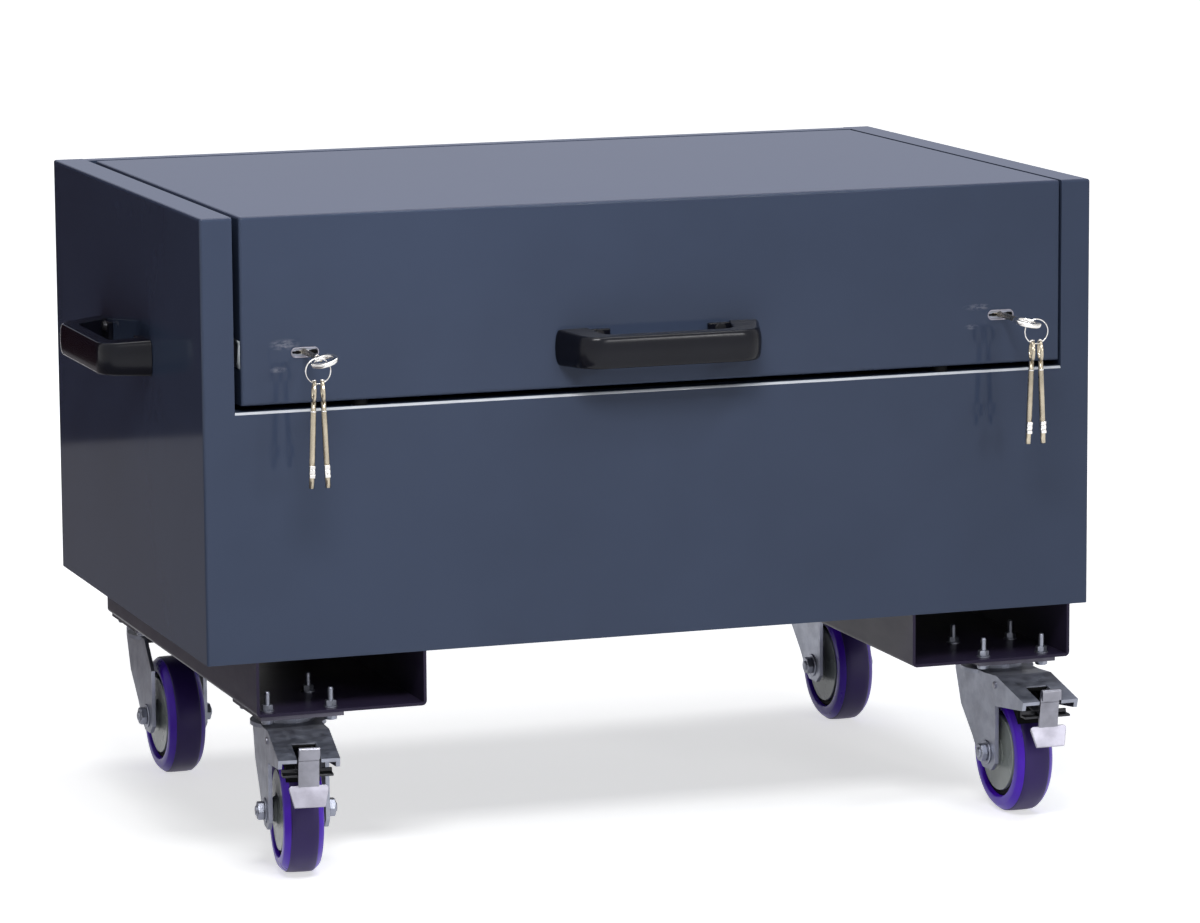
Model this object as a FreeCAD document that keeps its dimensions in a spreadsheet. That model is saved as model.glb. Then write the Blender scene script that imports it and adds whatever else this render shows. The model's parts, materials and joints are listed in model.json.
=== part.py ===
import FreeCAD, Part
import os
import re
import Sketcher

# Site security box: a lockable sheet-steel chest on four swivel castors, with fork
# channels below and a lid whose front flap carries two locks.
# Millimetres. X to the right, Y to the back, Z up, Z 0 on the floor.
# The origin is the middle of the whole outline, seen from above.

Vector = FreeCAD.Vector
Rotation = FreeCAD.Rotation
Placement = FreeCAD.Placement

doc = FreeCAD.newDocument("SecurityBox")
sizes = doc.addObject("Spreadsheet::Sheet", "Sizes")
places = doc.addObject("Spreadsheet::Sheet", "Places")
owner_of = {}
nodes = {}


def write_row(sheet, name, text):
    row = 1 + list(owner_of.values()).count(sheet.Name)
    sheet.set("A%d" % row, name)
    sheet.set("B%d" % row, text)
    sheet.setAlias("B%d" % row, name)
    owner_of[name] = sheet.Name


def link(text, home=""):
    """Write the name of its sheet before every size or place in an expression."""
    def full_name(found):
        word = found.group(0)
        owner = owner_of.get(word, home)
        if owner == home:
            return word
        return owner + "." + word
    return re.sub(r"[a-z]\w*", full_name, str(text))


def place(name, expression):
    """A value that follows from the driving sizes."""
    write_row(places, name, "=" + link(expression, "Places"))


# Driving sizes, each free to be changed by itself

SIZES = {
    # Box shell
    "box_width": 940,
    "box_depth": 600,
    "box_height": 440,
    "sheet": 2,
    "fold_radius": 3,
    "rail_width": 32,
    "rail_lip": 25,
    "post_lip": 30,
    "back_rail_width": 22,
    "back_rail_lip": 32,
    "sill_lip": 20,

    # Lid
    "lid_gap_left": 7,
    "lid_gap_right": 2,
    "lid_gap_below": 6,
    "flap_height": 185,
    "lid_flange": 30,
    "stiffener_width": 60,
    "stiffener_depth": 12,
    "stiffener_sheet": 1.5,
    "buffer_radius": 8,
    "buffer_inset": 130,
    "close_gap": 0.3,

    # Hinge
    "hinge_gap": 4,
    "knuckle_radius": 3.6,
    "hinge_pin_radius": 1.5,
    "running_gap": 0.05,
    "hinge_leaf_sheet": 1.5,
    "hinge_leaf_drop": 28,
    "knuckle_length": 40,
    "knuckle_gap": 0.4,

    # Fork channels
    "channel_width": 175,
    "channel_height": 55,
    "channel_sheet": 3,
    "channel_bend": 5,
    "channel_inset_left": 49,
    "channel_inset_right": 20,

    # Castors
    "castor_height": 159,
    "castor_inset_left": 96,
    "castor_inset_right": 78,
    "front_left_swivel": 7.5,
    "castor_setback": 54,
    "castor_trail": 44,
    "castor_plate_wide": 85,
    "castor_plate_long": 105,
    "castor_plate_thick": 4,
    "bolt_pitch_wide": 65,
    "bolt_pitch_long": 80,
    "bolt_radius": 4,
    "bolt_across_flats": 13,
    "bolt_end": 22,
    "boss_radius": 31,
    "boss_height": 5,
    "kingpin_radius": 6,
    "kingpin_head_radius": 10,
    "crown_radius": 38,
    "crown_ring_radius": 26,
    "crown_ring_height": 4.7,
    "fork_sheet": 4,
    "fork_gap": 53,
    "wheel_radius": 62.5,
    "tyre_width": 40,
    "tread_width": 26,
    "rim_radius": 43,
    "rim_width": 38,
    "hub_radius": 13,
    "axle_radius": 6,
    "axle_across_flats": 19,
    "axle_head": 7.5,

    # Brake
    "brake_reach": 142,
    "brake_pivot_radius": 3,
    "brake_strip": 20,
    "brake_slot": 24,
    "pedal_width": 41,
    "shoe_width": 34,

    # Handles
    "handle_length": 218,
    "handle_height": 37,
    "handle_round": 22,
    "handle_edge": 7,
    "handle_reach": 50,
    "handle_slope": 18,
    "handle_bar": 16,
    "handle_leg": 33,
    "handle_foot": 23,
    "handle_foot_thick": 5,
    "handle_screw_pitch": 24,
    "screw_radius": 2.5,
    "front_handle_above": 296,
    "side_handle_above": 279,

    # Locks and keys
    "lock_inset": 65,
    "lock_above": 305,
    "lock_case_long": 90,
    "lock_case_tall": 60,
    "lock_case_deep": 24,
    "keyhole_wide": 29,
    "keyhole_tall": 11,
    "forend_tall": 28,
    "bolt_bar_tall": 18,
    "bolt_bar_thick": 10,
    "bolt_bar_long": 46,
    "bolt_bar_setback": 18,
    "key_length": 103,
    "key_inserted": 23.7,
    "bow_radius": 12.5,
    "bow_hole_radius": 8.5,
    "bow_thick": 3,
    "shank_radius": 3,
    "bit_reach": 8.5,
    "bit_long": 14,
    "ring_radius": 12.5,
    "ring_wire": 0.8,
    "ring_hang": 9.3,
    "strike_play": 1.5,
    "spare_offset": 3.4,
    "spare_gap": 0.5,

    # Gas struts
    "strut_inset": 65,
    "strut_foot_forward": 97,
    "strut_foot_down": 284,
    "strut_head_drop": 20,
    "strut_tube_radius": 9,
    "strut_rod_radius": 4,
    "strut_tube_length": 310,
    "strut_rod_length": 304,
    "strut_stud_radius": 4,
    "strut_eye_radius": 8,
    "strut_eye_width": 10,
}
for name, number in SIZES.items():
    write_row(sizes, name, str(number))

# Places that follow: box shell
place("front_y", "(brake_reach - castor_setback - box_depth) / 2")
place("back_y", "front_y + box_depth")
place("base_z", "castor_height + channel_height")
place("top_z", "base_z + box_height")
place("half_width", "box_width / 2")
place("lip_x", "half_width - rail_width")
place("floor_z", "base_z + sheet")
place("middle_y", "front_y + box_depth / 2")

# Places that follow: lid and hinge
place("lid_left_x", "-(lip_x - lid_gap_left)")
place("lid_right_x", "lip_x - lid_gap_right")
place("flap_z", "top_z - flap_height")
place("sill_z", "flap_z - lid_gap_below")
place("hinge_y", "back_y - back_rail_width - hinge_gap")
place("hinge_z", "top_z - hinge_gap")
place("lid_back_y", "hinge_y - hinge_gap")
place("knuckle_hole", "hinge_pin_radius + running_gap")
place("hinge_left_x", "-knuckle_length * 10.5")
place("leaf_top_z", "hinge_z - knuckle_radius - 0.9")

# Places that follow: struts
place("foot_y", "hinge_y - strut_foot_forward")
place("foot_z", "hinge_z - strut_foot_down")
place("strut_circle", "sqrt(pow(strut_foot_forward; 2) + pow(strut_foot_down; 2))")
place("head_y", "hinge_y - sqrt(pow(strut_circle; 2) - pow(strut_head_drop; 2))")
place("head_z", "hinge_z - strut_head_drop")
place("strut_lean", "atan2(foot_y - head_y; head_z - foot_z)")
place("strut_x", "half_width - strut_inset")
place("eye_half", "strut_eye_width / 2")
place("tube_start", "strut_eye_radius + 12")
place("ear_x", "strut_x + eye_half + close_gap")

# Places that follow: castors, measured from the swivel axis and the floor
place("plate_z", "castor_height - castor_plate_thick")
place("boss_z", "plate_z - boss_height")
place("crown_ring_z", "boss_z - close_gap")
place("crown_z", "crown_ring_z - crown_ring_height")
place("crown_low_z", "crown_z - fork_sheet")
place("axle_y", "-castor_trail")
place("fork_half", "fork_gap / 2 + fork_sheet")
place("pivot_y", "axle_y - 21.6")
place("pivot_z", "crown_low_z - 4")
place("hood_y", "-brake_reach + 7")
place("hub_half", "fork_gap / 2 - close_gap")
place("arm_front_z", "pivot_z - 23")

# Places that follow: handles
place("handle_screw_x", "handle_length / 2 - handle_leg - handle_foot / 2")
place("front_handle_z", "base_z + front_handle_above")
place("side_handle_z", "base_z + side_handle_above")
place("screw_hole", "screw_radius + 0.1")

# Places that follow: locks and keys
place("lock_z", "base_z + lock_above")
place("bolt_bar_y", "front_y + bolt_bar_setback")
place("case_y", "front_y + sheet")
place("bar_low_y", "bolt_bar_y - bolt_bar_thick / 2")
place("bar_high_y", "bolt_bar_y + bolt_bar_thick / 2")
place("bow_y", "front_y + key_inserted - (key_length - bow_radius)")
place("bow_web", "(bow_radius + bow_hole_radius) / 2")
place("ring_z", "lock_z - ring_hang")
place("spare_wire_z", "ring_z - sqrt(pow(ring_radius; 2) - pow(spare_offset; 2))")
place("spare_bow_z", "spare_wire_z - (bow_hole_radius - ring_wire - spare_gap)")
place("bit_end", "key_length - bow_radius - 5.2")

doc.recompute()


# Helpers: folded and machined pieces as bodies with sketches

PLANES = {"x": "YZ_Plane", "y": "XZ_Plane", "z": "XY_Plane"}


def number(expression):
    value = sizes.evalExpression(link(expression))
    return float(getattr(value, "Value", value))


def new_body(name):
    return doc.addObject("PartDesign::Body", name)


def sketch_on(body, axis, height, points, circles):
    """A sketch square to an axis. Points are (y, z), (x, z) or (x, y) for axis x, y or z."""
    sketch = body.newObject("Sketcher::SketchObject", body.Name + "_sketch")
    plane = [item for item in body.Origin.OriginFeatures if item.Role == PLANES[axis]][0]
    sketch.AttachmentSupport = [(plane, "")]
    sketch.MapMode = "FlatFace"
    sign = "-1" if axis == "y" else "1"
    sketch.setExpression("AttachmentOffset.Base.z", link("%s * (%s)" % (sign, height)))
    corners = [Vector(number(u), number(v), 0) for u, v in points]
    for index, corner in enumerate(corners):
        sketch.addGeometry(Part.LineSegment(corner, corners[(index + 1) % len(corners)]))
    for index in range(len(corners)):
        following = (index + 1) % len(corners)
        sketch.addConstraint(Sketcher.Constraint("Coincident", index, 2, following, 1))
    for index, point in enumerate(points):
        bind_point(sketch, index, 1, point)
    for u, v, radius in circles:
        circle = Part.Circle(Vector(number(u), number(v), 0), Vector(0, 0, 1), number(radius))
        index = sketch.addGeometry(circle)
        bind_point(sketch, index, 3, (u, v))
        bind(sketch, Sketcher.Constraint("Radius", index, number(radius)), radius)
    return sketch


def bind(sketch, constraint, expression):
    index = sketch.addConstraint(constraint)
    sketch.setExpression("Constraints[%d]" % index, link(expression))


def bind_point(sketch, index, corner, point):
    for kind, expression in zip(("DistanceX", "DistanceY"), point):
        constraint = Sketcher.Constraint(kind, -1, 1, index, corner, number(expression))
        bind(sketch, constraint, expression)


def add_prism(body, axis, start, end, points=(), circles=()):
    """Add material between two heights along an axis."""
    height = end if axis == "y" else start
    pad = body.newObject("PartDesign::Pad", body.Name + "_pad")
    pad.Profile = sketch_on(body, axis, height, points, circles)
    pad.setExpression("Length", link("(%s) - (%s)" % (end, start)))
    return pad


def cut_prism(body, axis, start, end, points=(), circles=()):
    """Take material away between two heights along an axis."""
    height = start if axis == "y" else end
    pocket = body.newObject("PartDesign::Pocket", body.Name + "_pocket")
    pocket.Profile = sketch_on(body, axis, height, points, circles)
    pocket.setExpression("Length", link("(%s) - (%s)" % (end, start)))
    return pocket


def revolve_x(body, points):
    """Turn a profile of (x, radius) points round the body's X axis."""
    turn = body.newObject("PartDesign::Revolution", body.Name + "_turn")
    turn.Profile = sketch_on(body, "y", "0", points, ())
    turn.ReferenceAxis = (turn.Profile[0], ["H_Axis"])
    turn.Angle = 360


def rectangle(u_from, v_from, u_to, v_to):
    return [(u_from, v_from), (u_to, v_from), (u_to, v_to), (u_from, v_to)]


def round_edges(body, radius, chosen):
    """Round the straight edges that lie on all the given planes of one entry."""
    doc.recompute()
    base = body.Tip
    names = []
    for index, edge in enumerate(base.Shape.Edges):
        box = edge.BoundBox
        spans = {"x": (box.XMin, box.XMax), "y": (box.YMin, box.YMax), "z": (box.ZMin, box.ZMax)}
        for planes in chosen:
            reach = [abs(end - number(planes[axis])) for axis in planes for end in spans[axis]]
            if max(reach) < 0.001:
                names.append("Edge%d" % (index + 1))
    fillet = body.newObject("PartDesign::Fillet", body.Name + "_fillet")
    fillet.Base = (base, names)
    fillet.setExpression("Radius", link(radius))
    body.Tip = fillet


# Helpers: turned pieces, fasteners and groups from primitives

def put(thing, x, y, z, turn=None):
    if turn is not None:
        thing.Placement = Placement(Vector(0, 0, 0), turn)
    for axis, expression in zip("xyz", (x, y, z)):
        thing.setExpression("Placement.Base." + axis, link(expression))
    return thing


ALONG = {"x": Rotation(Vector(0, 1, 0), 90), "y": Rotation(Vector(1, 0, 0), -90),
         "z": Rotation()}


def cylinder(name, radius, start, end, axis="z", at=("0", "0")):
    """A cylinder between two heights along an axis; at gives its other two coordinates."""
    thing = doc.addObject("Part::Cylinder", name)
    thing.setExpression("Radius", link(radius))
    thing.setExpression("Height", link("(%s) - (%s)" % (end, start)))
    spot = list(at)
    spot.insert("xyz".index(axis), start)
    return put(thing, *spot, turn=ALONG[axis])


def swivel(thing, spot, angle):
    """Turn a castor piece about a vertical axis; a positive angle leads its front left."""
    put(thing, *spot, turn=Rotation(Vector(0, 0, -1), 10))
    thing.setExpression("Placement.Rotation.Angle", link(angle))
    return thing


def hexagon(name, across_flats, start, end):
    """A hexagonal bar on the local Z axis."""
    thing = doc.addObject("Part::Prism", name)
    thing.Polygon = 6
    thing.setExpression("Circumradius", link("(%s) / sqrt(3)" % across_flats))
    thing.setExpression("Height", link("(%s) - (%s)" % (end, start)))
    return put(thing, "0", "0", start)


def block(name, x_from, x_to, y_from, y_to, z_from, z_to):
    thing = doc.addObject("Part::Box", name)
    thing.setExpression("Length", link("(%s) - (%s)" % (x_to, x_from)))
    thing.setExpression("Width", link("(%s) - (%s)" % (y_to, y_from)))
    thing.setExpression("Height", link("(%s) - (%s)" % (z_to, z_from)))
    return put(thing, x_from, y_from, z_from)


def fuse(name, members):
    thing = doc.addObject("Part::MultiFuse", name)
    thing.Shapes = members
    return thing


def cut(name, base, tool):
    thing = doc.addObject("Part::Cut", name)
    thing.Base = base
    thing.Tool = tool
    return thing


def group(name, members):
    thing = doc.addObject("Part::Compound", name)
    thing.Links = members
    return thing


def node(thing, name):
    thing.Label = name
    nodes[name] = thing
    return thing


def mirror_x(side, expression):
    """The same distance from the middle, on the left (-1) or the right (1)."""
    return "%d * (%s)" % (side, expression)


def span_x(side, inner, outer):
    """Two distances from the middle as (smaller x, larger x) on either side."""
    ends = [mirror_x(side, inner), mirror_x(side, outer)]
    return ends if side > 0 else ends[::-1]


SIDES = {"left": -1, "right": 1}
CORNERS = [(end, side) for end in ("front", "rear") for side in SIDES]


# Box shell

screw_rows = ("-handle_screw_pitch / 2", "handle_screw_pitch / 2")


def side_panel(name, side):
    body = new_body(name + "_side_panel")
    outer, inner = "half_width", "lip_x"
    plan = [
        (outer, "front_y"), (inner, "front_y"), (inner, "front_y + post_lip"),
        (inner + " + sheet", "front_y + post_lip"), (inner + " + sheet", "front_y + sheet"),
        (outer + " - sheet", "front_y + sheet"), (outer + " - sheet", "back_y"),
        (outer, "back_y"),
    ]
    plan = [(mirror_x(side, x), y) for x, y in plan]
    add_prism(body, "z", "base_z", "top_z", plan)
    add_prism(body, "y", "front_y", "back_y", rectangle(
        mirror_x(side, inner), "top_z - sheet", mirror_x(side, outer), "top_z"))
    add_prism(body, "y", "front_y", "back_y - sheet", rectangle(
        mirror_x(side, inner), "top_z - rail_lip", mirror_x(side, inner + " + sheet"), "top_z"))
    foot_start, foot_end = span_x(side, inner + " - 1", inner + " + sheet + 1")
    cut_prism(body, "z", "base_z - 1", "floor_z", rectangle(
        foot_start, "front_y + sheet", foot_end, "front_y + post_lip + 1"))
    hole_start, hole_end = span_x(side, "half_width - sheet - 1", "half_width + 1")
    holes = []
    for row in screw_rows:
        for end in ("-handle_screw_x", "handle_screw_x"):
            holes.append(("middle_y + " + end, "side_handle_z + " + row, "screw_hole"))
    cut_prism(body, "x", hole_start, hole_end, circles=holes)
    strike_start, strike_end = span_x(side, "lip_x - 1", "lip_x + sheet + 1")
    cut_prism(body, "x", strike_start, strike_end, strike_hole())
    edge_x = mirror_x(side, outer)
    round_edges(body, "fold_radius", [
        {"x": edge_x, "y": "front_y"}, {"x": edge_x, "z": "top_z"},
        {"y": "front_y", "z": "top_z"}, {"x": edge_x, "y": "back_y"},
    ])
    return node(body, name + "_side_panel")


def strike_hole():
    return rectangle(
        "bar_low_y - strike_play", "lock_z - bolt_bar_tall / 2 - strike_play",
        "bar_high_y + strike_play", "lock_z + bolt_bar_tall / 2 + strike_play")


for name, side in SIDES.items():
    side_panel(name, side)

front_panel = node(new_body("front_panel"), "front_panel")
add_prism(front_panel, "x", "-lip_x", "lip_x", [
    ("front_y", "base_z"), ("front_y + sheet", "base_z"), ("front_y + sheet", "sill_z - sheet"),
    ("front_y + sill_lip", "sill_z - sheet"), ("front_y + sill_lip", "sill_z"),
    ("front_y", "sill_z"),
])
round_edges(front_panel, "fold_radius", [{"y": "front_y", "z": "sill_z"}])

back_panel = node(new_body("back_panel"), "back_panel")
add_prism(back_panel, "y", "back_y - sheet", "back_y", rectangle(
    "-half_width + sheet", "base_z", "half_width - sheet", "top_z - sheet"))
add_prism(back_panel, "x", "-lip_x", "lip_x", [
    ("back_y - sheet", "top_z - 3 * sheet"), ("back_y", "top_z - 3 * sheet"), ("back_y", "top_z"),
    ("back_y - back_rail_width", "top_z"),
    ("back_y - back_rail_width", "top_z - back_rail_lip"),
    ("back_y - back_rail_width + sheet", "top_z - back_rail_lip"),
    ("back_y - back_rail_width + sheet", "top_z - sheet"),
    ("back_y - sheet", "top_z - sheet"),
])
round_edges(back_panel, "fold_radius", [{"y": "back_y", "z": "top_z"}])

floor_panel = node(new_body("floor_panel"), "floor_panel")
add_prism(floor_panel, "z", "base_z", "floor_z", rectangle(
    "-half_width + sheet", "front_y + sheet", "half_width - sheet", "back_y - sheet"))


# Fork channels, with the holes for the castor bolts

castor_x = {"left": "-half_width + castor_inset_left", "right": "half_width - castor_inset_right"}
castor_y = {"front": "front_y + castor_setback", "rear": "back_y - castor_setback"}
channel_x = {
    "left": ("-half_width + channel_inset_left",
             "-half_width + channel_inset_left + channel_width"),
    "right": ("half_width - channel_inset_right - channel_width",
              "half_width - channel_inset_right"),
}
bolt_spots = []
for x_sign in ("-", "+"):
    for y_sign in ("-", "+"):
        bolt_spots.append((x_sign + " bolt_pitch_wide / 2", y_sign + " bolt_pitch_long / 2"))

for name in SIDES:
    body = node(new_body(name + "_fork_channel"), name + "_fork_channel")
    left_x, right_x = channel_x[name]
    add_prism(body, "y", "front_y", "back_y", [
        (left_x, "castor_height"), (right_x, "castor_height"), (right_x, "base_z"),
        (right_x + " - channel_sheet", "base_z"),
        (right_x + " - channel_sheet", "castor_height + channel_sheet"),
        (left_x + " + channel_sheet", "castor_height + channel_sheet"),
        (left_x + " + channel_sheet", "base_z"), (left_x, "base_z"),
    ])
    holes = []
    for end in castor_y:
        for x_step, y_step in bolt_spots:
            holes.append((castor_x[name] + x_step, castor_y[end] + y_step, "bolt_radius + 0.5"))
    cut_prism(body, "z", "castor_height - 1", "castor_height + channel_sheet + 1", circles=holes)
    round_edges(body, "channel_bend", [
        {"x": left_x, "z": "castor_height"}, {"x": right_x, "z": "castor_height"}])


# Castors: top plates with kingpins, bolts and nuts

top_plates = []
plate_bolts = []
plate_nuts = []
for end, side in CORNERS:
    name = end + "_" + side
    plate = new_body(name + "_top_plate")
    add_prism(plate, "z", "plate_z", "castor_height", rectangle(
        "-castor_plate_wide / 2", "-castor_plate_long / 2",
        "castor_plate_wide / 2", "castor_plate_long / 2"))
    add_prism(plate, "z", "boss_z", "plate_z", circles=[("0", "0", "boss_radius")])
    add_prism(plate, "z", "crown_low_z - close_gap", "boss_z",
              circles=[("0", "0", "kingpin_radius")])
    add_prism(plate, "z", "crown_low_z - close_gap - 3", "crown_low_z - close_gap",
              circles=[("0", "0", "kingpin_head_radius")])
    cut_prism(plate, "z", "plate_z - 1", "castor_height + 1", circles=[
        ("0" + x_step, "0" + y_step, "bolt_radius + 0.5") for x_step, y_step in bolt_spots])
    top_plates.append(put(plate, castor_x[side], castor_y[end], "0"))
    for index, (x_step, y_step) in enumerate(bolt_spots):
        label = "%s_%d" % (name, index)
        bolt = fuse("bolt_" + label, [
            hexagon("bolt_head_" + label, "bolt_across_flats", "-5.3", "0"),
            cylinder("bolt_shank_" + label, "bolt_radius", "-1",
                     "castor_plate_thick + channel_sheet + bolt_end"),
        ])
        nut = cut("nut_" + label,
                  hexagon("nut_body_" + label, "bolt_across_flats", "0", "6.5"),
                  cylinder("nut_bore_" + label, "bolt_radius + running_gap", "-1", "8"))
        spot = (castor_x[side] + x_step, castor_y[end] + y_step)
        plate_bolts.append(put(bolt, spot[0], spot[1], "plate_z"))
        plate_nuts.append(put(nut, spot[0], spot[1], "castor_height + channel_sheet"))
node(group("castor_top_plates", top_plates), "castor_top_plates")
node(group("castor_bolts", plate_bolts), "castor_bolts")
node(group("castor_nuts", plate_nuts), "castor_nuts")


# Castors: forks, wheels and brakes, drawn round the swivel axis

def leg_outline(braked):
    outline = [
        ("crown_radius", "crown_z"), ("crown_radius", "crown_z - 9"),
        ("axle_y + 67", "crown_z - 44"), ("axle_y + 37", "wheel_radius + 11"),
        ("axle_y + 19", "wheel_radius - 10"), ("axle_y + 9", "wheel_radius - 17"),
        ("axle_y - 12", "wheel_radius - 17"), ("axle_y - 22.6", "wheel_radius - 8"),
        ("axle_y - 22.6", "crown_z - 30"),
    ]
    if braked:
        outline += [
            ("hood_y", "crown_z - 22"), ("hood_y - 3", "crown_z - 13"),
            ("axle_y - 25", "crown_z + 2"),
        ]
    outline += [("-crown_radius", "crown_z")]
    return outline


def fork_hollow(braked):
    hollow = [("crown_radius + 20", "0"), ("crown_radius + 20", "crown_low_z"),
              ("-crown_radius", "crown_low_z")]
    if braked:
        hollow += [("axle_y - 25", "crown_z - 2"), ("hood_y - 3", "crown_z - 17"),
                   ("hood_y - 20", "crown_z - 20"), ("hood_y - 20", "0")]
    else:
        hollow += [("-crown_radius - 60", "crown_low_z"), ("-crown_radius - 60", "0")]
    return hollow


def castor(end, side):
    """One castor, turned about its swivel axis as it stands at rest."""
    name = end + "_" + side
    braked = end == "front"
    angle = "front_left_swivel" if name == "front_left" else "0"
    spot = (castor_x[side], castor_y[end], "0")
    hub_spot = ("%s + axle_y * sin(%s)" % (castor_x[side], angle),
                "%s + axle_y * cos(%s)" % (castor_y[end], angle), "wheel_radius")

    fork = new_body(name + "_fork")
    add_prism(fork, "x", "-fork_half", "fork_half", leg_outline(braked))
    cut_prism(fork, "x", "-fork_gap / 2", "fork_gap / 2", fork_hollow(braked))
    add_prism(fork, "z", "crown_low_z", "crown_z", circles=[("0", "0", "crown_radius")])
    add_prism(fork, "z", "crown_z", "crown_ring_z", circles=[("0", "0", "crown_ring_radius")])
    cut_prism(fork, "z", "crown_low_z - 1", "crown_ring_z + 1",
              circles=[("0", "0", "kingpin_radius + running_gap")])
    cross_holes = [("axle_y", "wheel_radius", "axle_radius + running_gap")]
    if braked:
        cross_holes.append(("pivot_y", "pivot_z", "brake_pivot_radius + running_gap"))
        cut_prism(fork, "z", "crown_z - 25", "crown_z + 5", rectangle(
            "-brake_slot / 2", "hood_y - 10", "brake_slot / 2", "axle_y - 56"))
    cut_prism(fork, "x", "-fork_half - 1", "fork_half + 1", circles=cross_holes)
    node(swivel(fork, spot, angle), name + "_fork")

    core = new_body(name + "_wheel_core")
    half = [("hub_half", "axle_radius + running_gap"), ("hub_half", "hub_radius"),
            ("rim_width / 2 + 1.5", "hub_radius + 3"), ("rim_width / 2 - 1", "rim_radius - 3"),
            ("rim_width / 2 - 1", "rim_radius")]
    revolve_x(core, half + [("-1 * " + x, radius) for x, radius in half[::-1]])
    node(swivel(core, hub_spot, angle), name + "_wheel_core")

    tyre = new_body(name + "_tyre")
    half = [("tyre_width / 2 - 1", "rim_radius"), ("tyre_width / 2", "rim_radius + 2"),
            ("tyre_width / 2", "wheel_radius - 8"), ("tread_width / 2", "wheel_radius - 1"),
            ("tread_width / 2 - 3", "wheel_radius")]
    revolve_x(tyre, half + [("-1 * (%s)" % x, radius) for x, radius in half[::-1]])
    node(swivel(tyre, hub_spot, angle), name + "_tyre")

    bolt = fuse(name + "_axle_bolt", [
        hexagon(name + "_axle_head", "axle_across_flats", "-fork_half - axle_head", "-fork_half"),
        cylinder(name + "_axle_shank", "axle_radius", "-fork_half - 1", "fork_half + 12"),
    ])
    nut = cut(name + "_axle_nut",
              hexagon(name + "_axle_nut_body", "axle_across_flats", "fork_half", "fork_half + 9"),
              cylinder(name + "_axle_nut_bore", "axle_radius + running_gap",
                       "fork_half - 1", "fork_half + 10"))
    for thing in (bolt, nut):
        thing.Placement = Placement(Vector(0, 0, 0), ALONG["x"])
    node(swivel(group(name + "_axle", [bolt, nut]), hub_spot, angle), name + "_axle")

    if braked:
        brake(name, spot, angle)


def brake(name, spot, angle):
    pedal = new_body(name + "_brake_pedal")
    arm_low = [("axle_y - 50", "pivot_z - 13.5"), ("axle_y - 28", "pivot_z - 6")]
    add_prism(pedal, "x", "-brake_strip / 2", "brake_strip / 2", [
        ("pivot_y + 5", "pivot_z - 4"), ("pivot_y + 5", "pivot_z + 4"),
        ("-brake_reach + 16", "arm_front_z + 6.5"), ("-brake_reach + 5.5", "crown_z"),
        ("-brake_reach", "crown_z"), ("-brake_reach + 8", "arm_front_z + 2"),
        ("-brake_reach + 9", "crown_z - 41"), ("-brake_reach + 13.5", "crown_z - 41"),
        ("-brake_reach + 14", "arm_front_z - 2"),
    ] + arm_low)
    add_prism(pedal, "x", "-pedal_width / 2", "pedal_width / 2", [
        ("-brake_reach + 9", "crown_z - 41"), ("-brake_reach + 13.5", "crown_z - 41"),
        ("-brake_reach + 7", "crown_z - 60.5"), ("-brake_reach + 3", "crown_z - 60.5"),
    ])
    add_prism(pedal, "x", "-fork_gap / 2 + 3", "fork_gap / 2 - 3", rectangle(
        "-brake_reach + 11", "arm_front_z - 5", "-brake_reach + 24", "arm_front_z"))
    add_prism(pedal, "x", "-fork_half - 1.5", "fork_half + 1.5",
              circles=[("pivot_y", "pivot_z", "brake_pivot_radius")])
    add_prism(pedal, "x", "-fork_gap / 2 + close_gap", "fork_gap / 2 - close_gap",
              circles=[("pivot_y", "pivot_z", "brake_pivot_radius + 2")])
    for side in SIDES.values():
        cut_prism(pedal, "y", "-brake_reach", "-brake_reach + 20", [
            (mirror_x(side, "pedal_width / 2 + 1"), "crown_z - 41"),
            (mirror_x(side, "pedal_width / 2 - 5.5"), "crown_z - 62"),
            (mirror_x(side, "pedal_width / 2 + 1"), "crown_z - 62"),
        ])
    node(swivel(pedal, spot, angle), name + "_brake_pedal")

    shoe = new_body(name + "_brake_shoe")
    add_prism(shoe, "x", "-shoe_width / 2", "shoe_width / 2",
              arm_low + [("axle_y - 28", "wheel_radius + 40"),
                         ("axle_y - 50", "wheel_radius + 30")])
    cut_prism(shoe, "x", "-shoe_width / 2 - 1", "shoe_width / 2 + 1",
              circles=[("axle_y", "wheel_radius", "wheel_radius + close_gap")])
    node(swivel(shoe, spot, angle), name + "_brake_shoe")


for end, side in CORNERS:
    castor(end, side)


# Handles and their screws

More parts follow.
